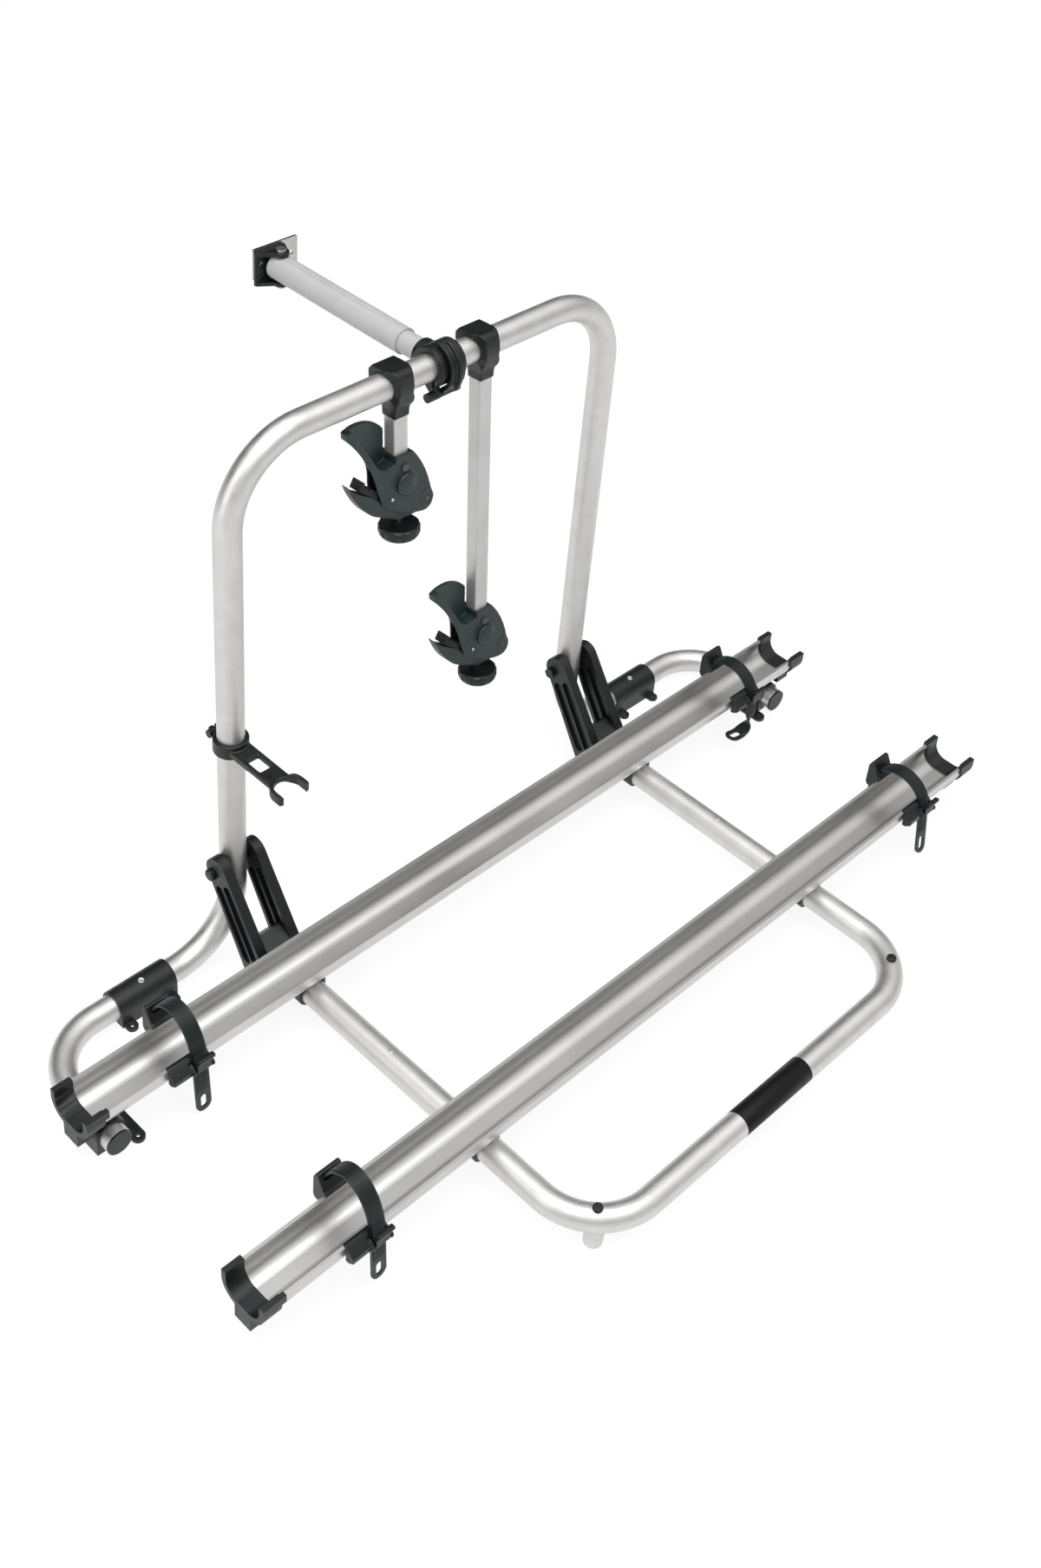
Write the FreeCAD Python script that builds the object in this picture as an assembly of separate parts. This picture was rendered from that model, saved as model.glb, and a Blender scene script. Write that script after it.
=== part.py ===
# Motorhome garage bike rack: a wall-braced tube hoop with a fold-up platform, two wheel rails and two bike arms.
# Millimetres. X runs along the wheel rails, +Y points back to the garage wall, Z is up and the floor is z = 0.
# The origin is the middle of the rack's box on the floor.
import FreeCAD, Part
import math
import os

V = FreeCAD.Vector

# Tubes
tube_d = 35.0             # hoop, feet and platform tube
tube_wall = 2.0
base_axis_z = 23.0        # floor to the axis of the base tubes
deck_rise = 21.0          # the platform tube's axis above the base tube's
top_bar_rise = 739.0      # the top bar's axis above the platform tube's
hoop_half = 313.0         # middle plane to a post's axis
hoop_top_bend = 105.0
hoop_low_bend = 97.0
foot_bend = 84.0
foot_reach = 172.0        # hoop plane to the end of a foot tube
front_reach = 661.5       # hoop plane to the front bar's axis
platform_bend = 90.0

# Wall strut
strut_x = 10.0
strut_reach = 318.0       # hoop plane to the wall
strut_outer_d = 35.0
strut_inner_d = 30.0
strut_wall = 2.2
strut_step = 62.0         # hoop plane to the near end of the outer strut tube
strut_overlap = 120.0     # how far the inner tube runs inside the outer one
clamp_boss_reach = 32.0   # the strut clamp's boss behind the bar's axis

# Fits
seat_gap = 0.2            # a moulding round a tube that it is fixed to
slide_gap = 0.3           # between pieces that move on each other
pin_gap = 0.05            # a pin in its hole, on the radius

# Floor sleeves, where the hoop and the foot tubes meet
sleeve_in_gap = 12.0      # hoop's low bend to the sleeve
sleeve_out_gap = 30.0     # sleeve to the foot's bend
sleeve_len = 86.0
sleeve_wall = 3.5
lug_hole_d = 5.5
lug_spacing_x = 66.0
lug_spacing_y = 54.0
lug_thick = 5.0
lug_r = 8.0

# End feet
saddle_y = 142.0          # hoop plane to the middle of an end foot's saddle
saddle_len = 32.0
tab_hole_in = 30.0        # inwards from the foot tube's axis
tab_hole_y = 168.0        # hoop plane to the tab's hole
tab_r = 9.0
plug_disc = 3.0
plug_spigot = 12.0

# Fold pivot and forks
pivot_rise = 110.0        # pivot above the platform tube's axis
pivot_bolt_d = 10.0
pivot_head_d = 17.0
pivot_head_h = 6.0
arm_gap = 19.5            # post's axis to the inner face of a fork arm
arm_thick = 14.0
arm_web = 5.0
arm_rim = 4.0
arm_top_y = -8.0          # upper rounded end, from the post's axis
arm_top_rise = 8.0        # upper rounded end, above the pivot
arm_top_r = 20.0
arm_low_y = -82.0         # lower rounded end, from the post's axis
arm_low_rise = 2.0        # lower rounded end, above the platform tube's axis
arm_low_r = 24.0
socket_back = 56.0        # hoop plane to the back of the tube socket
socket_front = 104.0
socket_wall = 5.5
socket_end = 5.0          # closed end behind the platform tube
socket_screw_d = 8.0
socket_screw_y = 84.0

# Feet and plugs under the platform's front corners
foot_top_r = 14.0
foot_base_r = 11.5
corner_plug_r = 6.5
corner_plug_h = 4.5
corner_plug_sink = 4.0

# Wheel rails
rail_rear_y = 143.3       # hoop plane to the rear rail's middle
rail_pitch = 320.2        # rear rail to front rail
rail_overhang = 28.0      # rail's end beyond the foot's axis
rail_half_w = 33.5
rail_h = 34.2
rail_wall = 2.6
rail_corner_r = 25.0
rail_lip_w = 4.2
rail_lip_h = 4.5
rail_lift = 0.3           # rail above the platform tube
cap_over = 18.0           # cap beyond the rail's end
cap_wrap = 8.0            # cap round the rail's end
cap_wall = 2.6
cap_stop_h = 24.0         # stop block below the rail
cap_stop_w = 27.0
cap_tab_len = 6.0

# Rail clamps under the platform's side tubes
saddle_wall = 4.0
saddle_width = 34.0       # along the tube
saddle_ear = 15.0
saddle_ear_t = 5.0
clamp_bolt_d = 6.0
clamp_bolt_bite = 1.6     # how far the bolt goes into the rail's floor
clamp_head_d = 13.0
clamp_head_h = 6.0

# Wheel straps
strap_in_left = 141.0     # rail's end to the strap's middle
strap_in_right = 112.0
strap_w = 22.0
strap_t = 2.6
strap_back = 47.0         # rail's middle to the strap's back run
strap_front = 40.5        # rail's middle to the strap's front run
strap_shoulder = 18.0     # the arch starts this far below the rail's rim
arch_left = 66.0          # arch height above its start
arch_right = 44.0
tail_lean = 12.0          # degrees the hanging tail leans forward
tail_slot_w = 9.0
tail_slot_len = 20.0
anchor_w = 34.0
anchor_h = 44.0
anchor_drop = 18.0        # anchor's foot below the rim
buckle_left = 42.0        # buckle's base to the left and right of the strap's middle
buckle_right = 14.0
buckle_drop = 23.0        # base below the rim
cheek_t = 3.5
buckle_pin_d = 4.0
buckle_pin_drop = 13.0
lever_hub_r = 4.2
lever_w = 21.4
lever_rise = 20.0         # lever's top above its pin
lever_lip = 3.0           # lip beyond the strap, on the right
lever_t = 3.5

# Platform clip on the left post
clip_rise = 316.0         # above the platform tube's axis
clip_h = 14.0
clip_wall = 5.0
clip_lip = 12.0
clip_arm_w = 30.0
clip_window = 15.0
clip_ring_h = 20.0
clip_ear = 16.0
clip_screw_d = 5.0

# Bike arms
arm_x = {"1": -62.0, "2": 79.0}
arm_drop = {"1": 99.0, "2": 394.0}    # bar's axis to the tube's visible lower end
arm_lean = 3.8            # degrees forward of straight down
arm_side = 22.0
arm_wall = 1.8
arm_corner_r = 4.0
clamp_w = 36.0
clamp_front_half = 11.5   # half the width of the clamp's nose
collar_half = 13.0
clamp_collar_drop = 44.0
clamp_socket_drop = 22.0
claw_half_t = 15.5
slot_half = 10.4
jaw_half_t = 10.0
tube_in_claw = 24.0
web_front = 7.0           # the web between beak and tube lies behind this
beak_angle = 5.0          # degrees the front face closes in towards the beak's tip
beak_from = 14.0
cross_bore = 120.0        # drill length that clears any fork or claw
hub_boss_r = 15.0
claw_screw_d = 6.0
claw_screw_drop = 12.0    # tube's visible end to the claw's cross screw
jaw_pin = (44.0, -70.0)
jaw_pin_d = 8.0
jaw_pin_r = 11.0
spindle_x = 4.0
spindle_d = 8.0
spindle_top = -50.0
jaw_flat = -94.5
knob_r = 26.5
knob_top = -100.0
knob_h = 19.0
knob_flutes = 12
knob_boss_r = 10.0

# Strut clamp and its lever
strut_clamp_w = 40.0
strut_clamp_r = 26.5
lever_band_w = 22.0
lever_in_r = 28.0
lever_out_r = 34.0
lever_rib_r = 39.0
lever_rib_w = 6.0
lever_pin_y = -13.0
lever_pin_drop = 33.0
lever_pin_d = 6.0
lever_from = 96.0         # degrees round the bar, from +Y over the top
lever_to = 238.0

# Wall plate and its hinge bracket
plate_x = 5.0             # plate's middle from the strut's axis
plate_rise = 5.0
plate_w = 72.0
plate_h = 44.0
plate_t = 3.0
plate_hole_d = 6.5
plate_hole_x = 52.0       # between the two wall screw holes
lug_t = 5.0
lug_gap = 1.0             # strut's tube to each lug
lug_reach = 28.0
bracket_back_t = 4.0
wall_bolt_d = 8.0
wall_bolt_back = 20.0     # wall to the hinge bolt
strut_end_gap = 5.0       # strut's end to the bracket's back

# Worked out from the sizes above
tube_r = tube_d / 2
tube_in_r = tube_r - tube_wall
hoop_y = (front_reach + tube_r - strut_reach) / 2
sleeve_x = hoop_half + hoop_low_bend + sleeve_in_gap + sleeve_len / 2
foot_half = sleeve_x + sleeve_len / 2 + sleeve_out_gap + foot_bend
rail_len = 2 * (foot_half + rail_overhang)
deck_z = base_axis_z + deck_rise
top_z = deck_z + top_bar_rise
pivot_z = deck_z + pivot_rise
rail_z = deck_z + tube_r + rail_lift
rim_z = rail_z + rail_h
rails = {"rear": hoop_y - rail_rear_y, "front": hoop_y - rail_rear_y - rail_pitch}
sides = {"left": -1.0, "right": 1.0}
straps = {"left": strap_in_left - rail_len / 2, "right": rail_len / 2 - strap_in_right}
arches = {"left": arch_left, "right": arch_right}
tails = {"rear_left": 61.0, "rear_right": 46.0, "front_left": 52.0, "front_right": 60.0}


def box(x0, y0, z0, x1, y1, z1):
    return Part.makeBox(x1 - x0, y1 - y0, z1 - z0, V(x0, y0, z0))


def cyl(r, h, base, axis):
    return Part.makeCylinder(r, h, base, axis)


def fused(shapes):
    whole = shapes[0].multiFuse(shapes[1:]) if len(shapes) > 1 else shapes[0]
    return whole.removeSplitter()


def mirrored(shape):
    return shape.mirror(V(0, 0, 0), V(1, 0, 0))


def moved(shape, x=0.0, y=0.0, z=0.0):
    copy = shape.copy()
    copy.translate(V(x, y, z))
    return copy


def turned(shape, centre, axis, degrees):
    copy = shape.copy()
    copy.rotate(centre, axis, degrees)
    return copy


def outline(start, steps):
    """A closed wire from 2-D steps: ("to", p) is a line, ("arc", via, p) an arc. Returns a wire in the XY plane."""
    edges = []
    here = start
    for step in steps + [("to", start)]:
        end = step[-1]
        a = V(here[0], here[1], 0)
        b = V(end[0], end[1], 0)
        if step[0] == "arc":
            edges.append(Part.Arc(a, V(step[1][0], step[1][1], 0), b).toShape())
        elif a.distanceToPoint(b) > 1e-6:
            edges.append(Part.LineSegment(a, b).toShape())
        here = end
    return Part.Wire(edges)


def along_x(wire, x0, x1):
    """Extrude a profile whose first coordinate is y and second is z, from x0 to x1."""
    face = Part.Face(wire)
    face.Placement = FreeCAD.Placement(V(x0, 0, 0), FreeCAD.Rotation(V(1, 1, 1), 120))
    return face.extrude(V(x1 - x0, 0, 0))


def along_y(wire, half):
    """Extrude a profile whose first coordinate is x and second is z, half each side of y = 0."""
    face = Part.Face(wire)
    face.Placement = FreeCAD.Placement(V(0, half, 0), FreeCAD.Rotation(V(1, 0, 0), 90))
    return face.extrude(V(0, -2 * half, 0))


def tangent_bar(c1, r1, c2, r2):
    """The outline round two circles, as arcs and tangent lines."""
    dx = c2[0] - c1[0]
    dy = c2[1] - c1[1]
    gap = math.hypot(dx, dy)
    aim = math.atan2(dy, dx)
    swing = math.acos((r1 - r2) / gap)

    def at(c, r, angle):
        return (c[0] + r * math.cos(angle), c[1] + r * math.sin(angle))

    return outline(at(c1, r1, aim + swing), [
        ("arc", at(c1, r1, aim + math.pi), at(c1, r1, aim - swing)),
        ("to", at(c2, r2, aim - swing)),
        ("arc", at(c2, r2, aim), at(c2, r2, aim + swing))])


def rod_pieces(points, radii, r):
    """Straight runs and bends of a round rod through the points, each inner corner bent to its radius."""
    pieces = []
    here = points[0]
    for i, radius in enumerate(radii):
        corner = points[i + 1]
        inward = (corner - points[i]).normalize()
        outward = (points[i + 2] - corner).normalize()
        cut = radius * math.tan(inward.getAngle(outward) / 2)
        start = corner - inward * cut
        pieces.append(cyl(r, (start - here).Length, here, inward))
        centre = start + outward * radius
        disc = Part.Face(Part.Wire(Part.Circle(start, inward, r).toShape()))
        degrees = math.degrees(inward.getAngle(outward))
        pieces.append(disc.revolve(centre, inward.cross(outward), degrees))
        here = corner + outward * cut
    last = points[-1] - here
    pieces.append(cyl(r, last.Length, here, last))
    return pieces


def bent_rod(points, radii, r):
    pieces = rod_pieces(points, radii, r)
    return pieces[0].multiFuse(pieces[1:])


def bent_tube(points, radii):
    outer = rod_pieces(points, radii, tube_r)
    inner = rod_pieces(points, radii, tube_in_r)
    runs = [rod.cut(core) for rod, core in zip(outer, inner)]
    return runs[0].multiFuse(runs[1:])


def hoop_points():
    low = V(-sleeve_x, hoop_y, base_axis_z)
    corner = V(-hoop_half, hoop_y, base_axis_z)
    top = V(-hoop_half, hoop_y, top_z)
    left = [low, corner, top]
    return left + [V(-p.x, p.y, p.z) for p in reversed(left)]


def hoop_frame():
    tube = bent_tube(hoop_points(), [hoop_low_bend, hoop_top_bend, hoop_top_bend, hoop_low_bend])
    for side in sides.values():
        hole = cyl(pivot_bolt_d / 2 + pin_gap, tube_d + 2, V(side * hoop_half - tube_r - 1, hoop_y, pivot_z), V(1, 0, 0))
        tube = tube.cut(hole)
    return tube


def foot_tube(side):
    points = [V(-sleeve_x, hoop_y, base_axis_z),
              V(-foot_half, hoop_y, base_axis_z),
              V(-foot_half, hoop_y - foot_reach, base_axis_z)]
    tube = bent_tube(points, [foot_bend])
    return tube if side < 0 else mirrored(tube)


def saddle_profile(outer_r):
    """Cross-section of a floor saddle: an arch over the tube with straight sides down to the floor."""
    return outline((-outer_r, 0), [
        ("to", (-outer_r, base_axis_z)),
        ("arc", (0, base_axis_z + outer_r), (outer_r, base_axis_z)),
        ("to", (outer_r, 0))])


def floor_sleeve(side):
    outer_r = tube_r + seat_gap + sleeve_wall
    body = along_x(saddle_profile(outer_r), -sleeve_len / 2, sleeve_len / 2)
    pieces = [body]
    holes = [cyl(tube_r + seat_gap, sleeve_len + 2, V(-sleeve_len / 2 - 1, 0, base_axis_z), V(1, 0, 0))]
    for sx in (-1, 1):
        for sy in (-1, 1):
            x = sx * lug_spacing_x / 2
            y = sy * lug_spacing_y / 2
            pieces.append(cyl(lug_r, lug_thick, V(x, y, 0), V(0, 0, 1)))
            pieces.append(box(x - lug_r, min(0, y), 0, x + lug_r, max(0, y), lug_thick))
            holes.append(cyl(lug_hole_d / 2, lug_thick + 2, V(x, y, -1), V(0, 0, 1)))
    sleeve = fused(pieces)
    for hole in holes:
        sleeve = sleeve.cut(hole)
    relief = box(-sleeve_len / 2 + 12, -7, -1, sleeve_len / 2 - 12, 7, 2.5)
    return moved(sleeve.cut(relief), side * sleeve_x, hoop_y, 0)


def end_foot(side):
    outer_r = tube_r + seat_gap + sleeve_wall
    arch = turned(along_x(saddle_profile(outer_r), -saddle_len / 2, saddle_len / 2), V(0, 0, 0), V(0, 0, 1), 90)
    arch.translate(V(-foot_half, hoop_y - saddle_y, 0))
    tab_x = -foot_half + tab_hole_in
    tab_y = hoop_y - tab_hole_y
    back_y = hoop_y - saddle_y + saddle_len / 2
    plate = box(-foot_half - outer_r, back_y - saddle_len, 0, tab_x + tab_r, back_y, lug_thick)
    tab = box(tab_x - tab_r, tab_y, 0, tab_x + tab_r, back_y - 1, lug_thick)
    tip = cyl(tab_r, lug_thick, V(tab_x, tab_y, 0), V(0, 0, 1))
    foot = fused([arch, plate, tab, tip])
    foot = foot.cut(cyl(lug_hole_d / 2, lug_thick + 2, V(tab_x, tab_y, -1), V(0, 0, 1)))
    bore = cyl(tube_r + seat_gap, saddle_len + 2, V(-foot_half, back_y + 1, base_axis_z), V(0, -1, 0))
    foot = foot.cut(bore)
    return foot if side < 0 else mirrored(foot)


def end_plugs():
    """Closing discs of the two foot tubes, each with a spigot inside the tube."""
    y = hoop_y - foot_reach
    disc = cyl(tube_r, plug_disc, V(-foot_half, y, base_axis_z), V(0, -1, 0))
    spigot = cyl(tube_in_r - seat_gap, plug_spigot, V(-foot_half, y, base_axis_z), V(0, 1, 0))
    plug = fused([disc, spigot])
    return Part.Compound([plug, mirrored(plug)])


def pivot_bolt(side):
    """Fold pivot: a shank right through post and fork, with a domed head outside and a nut inside."""
    reach = arm_gap + arm_thick + seat_gap
    shank = cyl(pivot_bolt_d / 2, 2 * reach, V(-hoop_half - reach, hoop_y, pivot_z), V(1, 0, 0))
    head = cyl(pivot_head_d / 2, pivot_head_h, V(-hoop_half - reach, hoop_y, pivot_z), V(-1, 0, 0))
    head = head.makeChamfer(1.5, [e for e in head.Edges if e.BoundBox.XMax < -hoop_half - reach - pivot_head_h + 0.1])
    nut = hexagon(pivot_head_d, pivot_head_h, V(-hoop_half + reach, hoop_y, pivot_z))
    bolt = fused([shank, head, nut])
    return bolt if side < 0 else mirrored(bolt)


def hexagon(across, height, base):
    """A hexagonal nut with its axis along +X from the base point."""
    corners = [(across / 2 * math.cos(math.radians(60 * i)), across / 2 * math.sin(math.radians(60 * i)))
               for i in range(6)]
    nut = along_x(outline(corners[0], [("to", p) for p in corners[1:]]), 0, height)
    return moved(nut, base.x, base.y, base.z)


def platform_clip():
    """An open C in front for the folded platform's tube, on an arm from a clamp ring round the left post."""
    inner = tube_r + slide_gap
    outer = inner + clip_wall
    post = V(-hoop_half, hoop_y, 0)
    jaw = V(-hoop_half, hoop_y - pivot_rise, 0)
    z = deck_z + clip_rise
    low = z - clip_h / 2
    ring_low = z - clip_ring_h / 2
    ring = cyl(tube_r + seat_gap + clip_wall, clip_ring_h, post + V(0, 0, ring_low), V(0, 0, 1))
    cup = cyl(outer, clip_h, jaw + V(0, 0, low), V(0, 0, 1))
    lips = box(jaw.x - outer, jaw.y - clip_lip, low, jaw.x + outer, jaw.y, low + clip_h)
    arm = box(post.x - clip_arm_w / 2, jaw.y, low, post.x + clip_arm_w / 2, post.y, low + clip_h)
    ears = box(post.x - clip_ear / 2, post.y, z - clip_h / 2, post.x + clip_ear / 2, post.y + outer + 12, z + clip_h / 2)
    clip = fused([ring, cup, lips, arm, ears])
    clip = clip.cut(cyl(tube_r + seat_gap, clip_ring_h + 2, post + V(0, 0, ring_low - 1), V(0, 0, 1)))
    clip = clip.cut(cyl(inner, clip_h + 2, jaw + V(0, 0, low - 1), V(0, 0, 1)))
    clip = clip.cut(box(jaw.x - inner, jaw.y - outer - 2, low - 1, jaw.x + inner, jaw.y, low + clip_h + 1))
    middle = (jaw.y + outer + post.y - outer) / 2
    half = clip_window / 2
    window = box(post.x - half, middle - half, low - 1, post.x + half, middle + half, low + clip_h + 1)
    slit = box(post.x - 1, post.y + tube_r, ring_low - 1, post.x + 1, post.y + outer + 13, ring_low + clip_ring_h + 1)
    screw = cyl(clip_screw_d / 2 + pin_gap, 60, clip_screw_start(), V(1, 0, 0))
    return clip.cut(window).cut(slit).cut(screw)


def clip_screw_start():
    return V(-hoop_half - clip_ear / 2, hoop_y + tube_r + clip_wall + 7, deck_z + clip_rise)


def clip_screw():
    """Pinch screw through the clip's two ears."""
    shank = cyl(clip_screw_d / 2, clip_ear + 3, clip_screw_start(), V(1, 0, 0))
    head = cyl(clip_screw_d * 1.1, 4, clip_screw_start(), V(-1, 0, 0))
    return fused([shank, head])


def frame_bolts():
    return Part.Compound([pivot_bolt(side) for side in sides.values()] + [clip_screw()])


def platform_points():
    back = hoop_y - socket_back - socket_end
    front = hoop_y - front_reach
    left = [V(-hoop_half, back, deck_z), V(-hoop_half, front, deck_z)]
    return left + [V(-p.x, p.y, p.z) for p in reversed(left)]


def platform_rod():
    return bent_rod(platform_points(), [platform_bend, platform_bend], tube_r)


def corner_spot():
    """Middle of a front corner's bend, where the foot and its plug sit (right-hand corner)."""
    back = platform_bend * (1 - math.cos(math.pi / 4))
    return V(hoop_half - back, hoop_y - front_reach + back, deck_z)


def platform_frame():
    tube = bent_tube(platform_points(), [platform_bend, platform_bend])
    spot = corner_spot()
    for side in sides.values():
        tube = tube.cut(cyl(corner_plug_sink, tube_d + 4, V(side * spot.x, spot.y, deck_z - tube_r - 2), V(0, 0, 1)))
        y = hoop_y - socket_screw_y
        shank = cyl(socket_screw_d / 2 + pin_gap, tube_d + 4, V(side * hoop_half - tube_r - 2, y, deck_z), V(1, 0, 0))
        tube = tube.cut(shank)
    return tube


def fork_arm():
    """One side plate of a fork in the YZ plane, hollowed from both faces so that a web and a rim are left."""
    top = (arm_top_y, pivot_rise + arm_top_rise)
    low = (arm_low_y, arm_low_rise)
    plate = along_x(tangent_bar(top, arm_top_r, low, arm_low_r), 0, arm_thick)
    lean = math.atan2(low[1] - top[1], low[0] - top[0])
    ahead = (math.cos(lean), math.sin(lean))
    across = (-math.sin(lean), math.cos(lean))
    depth = (arm_thick - arm_web) / 2
    length = math.hypot(low[0] - top[0], low[1] - top[1])
    pocket_r = (arm_top_r - arm_rim * 1.5) / 2
    start = arm_top_r + arm_rim + pocket_r - 4
    stop = length - arm_low_r * 0.55
    for shift in (-1, 1):
        offset = shift * (pocket_r + arm_rim / 2)

        def spot(t):
            return (top[0] + ahead[0] * t + across[0] * offset, top[1] + ahead[1] * t + across[1] * offset)

        pocket = tangent_bar(spot(start), pocket_r, spot(stop), pocket_r + 0.01)
        plate = plate.cut(along_x(pocket, -1, depth))
        plate = plate.cut(along_x(pocket, arm_thick - depth, arm_thick + 1))
    return plate


def fork(side):
    """Two side plates and the socket that holds the platform tube's end, round the post's plane x = 0."""
    plate = fork_arm()
    arms = [moved(plate, arm_gap), moved(plate, -arm_gap - arm_thick)]
    wall = tube_r + seat_gap + socket_wall
    half = arm_gap + 0.5
    socket = along_x(outline((-socket_front, -wall), [
        ("to", (-socket_back, -wall)),
        ("to", (-socket_back, wall + 2)),
        ("to", (-socket_back - 14, wall + 15)),
        ("to", (-socket_front, wall)),
    ]), -half, half)
    body = fused(arms + [socket])
    bore = cyl(tube_r + seat_gap, socket_front, V(0, -socket_back - socket_end, 0), V(0, -1, 0))
    pivot = cyl(pivot_bolt_d / 2 + pin_gap, cross_bore, V(-cross_bore / 2, 0, pivot_rise), V(1, 0, 0))
    screw = cyl(socket_screw_d / 2 + pin_gap, cross_bore, V(-cross_bore / 2, -socket_screw_y, 0), V(1, 0, 0))
    body = body.cut(bore).cut(pivot).cut(screw)
    return moved(body, side * hoop_half, hoop_y, deck_z)


def fork_screws():
    """Cross bolts that fix each fork to its platform tube."""
    screws = []
    for side in sides.values():
        reach = arm_gap + arm_thick
        base = V(side * hoop_half - reach, hoop_y - socket_screw_y, deck_z)
        shank = cyl(socket_screw_d / 2, 2 * reach, base, V(1, 0, 0))
        head = cyl(socket_screw_d, 3.5, base, V(-1, 0, 0))
        nut = hexagon(socket_screw_d * 2, 4, base + V(2 * reach, 0, 0))
        screws.append(fused([shank, head, nut]))
    return Part.Compound(screws)


def platform_feet():
    spot = corner_spot()
    rod = platform_rod()
    foot = Part.makeCone(foot_base_r, foot_top_r, deck_z, V(spot.x, spot.y, 0), V(0, 0, 1))
    foot = foot.cut(rod)
    foot = max(foot.Solids, key=lambda s: s.Volume)
    return Part.Compound([foot, mirrored(foot)])


def corner_plugs():
    spot = corner_spot()
    top = deck_z + tube_r
    head = cyl(corner_plug_r, corner_plug_h + 2, V(spot.x, spot.y, top - 2), V(0, 0, 1))
    rim = [e for e in head.Edges if abs(e.BoundBox.ZMin - (top + corner_plug_h)) < 1e-3 and e.Length > 20]
    head = head.makeFillet(2.2, rim)
    head = head.cut(platform_rod())
    shank = cyl(corner_plug_sink - pin_gap, 14, V(spot.x, spot.y, top - 14), V(0, 0, 1))
    plug = fused([head, shank])
    return Part.Compound([plug, mirrored(plug)])


def rail_outline(grow):
    """The rail's U section grown outwards, open at the top. First coordinate y, second z from the rail's foot."""
    half = rail_half_w + grow
    r = rail_corner_r + grow
    flat = rail_half_w - rail_corner_r
    knee = rail_corner_r
    slant = r * math.sqrt(0.5)
    return half, r, flat, knee, slant


def rail_section(grow, top):
    half, r, flat, knee, slant = rail_outline(grow)
    return outline((-half, top), [
        ("to", (-half, knee)),
        ("arc", (-flat - slant, knee - slant), (-flat, knee - r)),
        ("to", (flat, knee - r)),
        ("arc", (flat + slant, knee - slant), (half, knee)),
        ("to", (half, top))])


def wheel_rail(y):
    """A rolled channel with a round trough, a thickened lip on each rim and blind holes below for the clamp bolts."""
    half = rail_len / 2
    shell = along_x(rail_section(0, rail_h), -half, half)
    trough = along_x(rail_section(-rail_wall, rail_h + 1), -half - 1, half + 1)
    rail = shell.cut(trough)
    lips = []
    for side in (-1, 1):
        edge = side * rail_half_w
        inner = side * (rail_half_w - rail_lip_w)
        lip = box(-half, min(edge, inner), rail_h - rail_lip_h, half, max(edge, inner), rail_h)
        lips.append(lip)
    rail = fused([rail] + lips)
    for side in sides.values():
        for ear in (-1, 1):
            x = side * hoop_half + ear * (tube_r + saddle_wall + saddle_ear / 2)
            top = clamp_bolt_bite + pin_gap
            rail = rail.cut(cyl(clamp_bolt_d / 2 + pin_gap, rail_wall + top, V(x, 0, top), V(0, 0, -1)))
    return moved(rail, 0, y, rail_z)


def rail_cap(side, y):
    """End cap: wraps the channel outside and inside, with a stop block below and a tab along the front rim."""
    half = rail_len / 2
    end = half + cap_over
    start = half - cap_wrap
    outer = along_x(rail_section(cap_wall, rail_h + cap_wall), start, end)
    inner = along_x(rail_section(-rail_wall - cap_wall, rail_h + cap_wall + 1), start - 1, end + 1)
    cap = outer.cut(inner)
    stop = box(end - 25, -cap_stop_w / 2, -cap_stop_h, end, cap_stop_w / 2, -cap_wall + 1)
    tab_low = rail_h - 9
    tab = box(start - cap_tab_len, -rail_half_w - cap_wall, tab_low, start + 1, -rail_half_w, rail_h + cap_wall)
    tab_top = box(start - cap_tab_len, -rail_half_w - cap_wall, rail_h, start + 1, -rail_half_w + 4, rail_h + cap_wall)
    cap = fused([cap, stop, tab, tab_top])
    seat = along_x(rail_section(0, rail_h + 0.01), start - cap_tab_len - 1, half)
    trough = along_x(rail_section(-rail_wall, rail_h + 0.02), start - cap_tab_len - 2, half + 1)
    lip_w = rail_lip_w
    metal = seat.cut(trough)
    for edge in (-1, 1):
        low = min(edge * rail_half_w, edge * (rail_half_w - lip_w))
        metal = metal.fuse(box(start - cap_tab_len - 1, low, rail_h - rail_lip_h, half, low + lip_w, rail_h))
    cap = cap.cut(metal)
    cap = max(cap.Solids, key=lambda s: s.Volume)
    if side < 0:
        cap = mirrored(cap)
    return moved(cap, 0, y, rail_z)


def rail_caps(y):
    return Part.Compound([rail_cap(side, y) for side in sides.values()])


def rail_clamp(side, y):
    """A U saddle under the platform's side tube with an ear each side, bolted up into the rail."""
    inner = tube_r + slide_gap
    outer = inner + saddle_wall
    reach = tube_r + saddle_wall + saddle_ear
    top = tube_r + rail_lift
    low_ear = top - saddle_ear_t
    section = outline((-reach, top), [
        ("to", (-reach, low_ear)),
        ("to", (-outer, low_ear)),
        ("to", (-outer, 0)),
        ("arc", (0, -outer), (outer, 0)),
        ("to", (outer, low_ear)),
        ("to", (reach, low_ear)),
        ("to", (reach, top))])
    body = turned(along_x(section, -saddle_width / 2, saddle_width / 2), V(0, 0, 0), V(0, 0, 1), 90)
    body = body.cut(cyl(inner, saddle_width + 2, V(0, -saddle_width / 2 - 1, 0), V(0, 1, 0)))
    body = body.cut(box(-inner, -saddle_width, 0, inner, saddle_width, tube_r + 5))
    for ear in (-1, 1):
        x = ear * (tube_r + saddle_wall + saddle_ear / 2)
        body = body.cut(cyl(clamp_bolt_d / 2 + pin_gap, 30, V(x, 0, 0), V(0, 0, 1)))
    curve = moved(along_x(rail_section(0.01, 60), -80, 80), 0, 0, rail_z - deck_z)
    return moved(body.cut(curve), side * hoop_half, y, deck_z)


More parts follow.
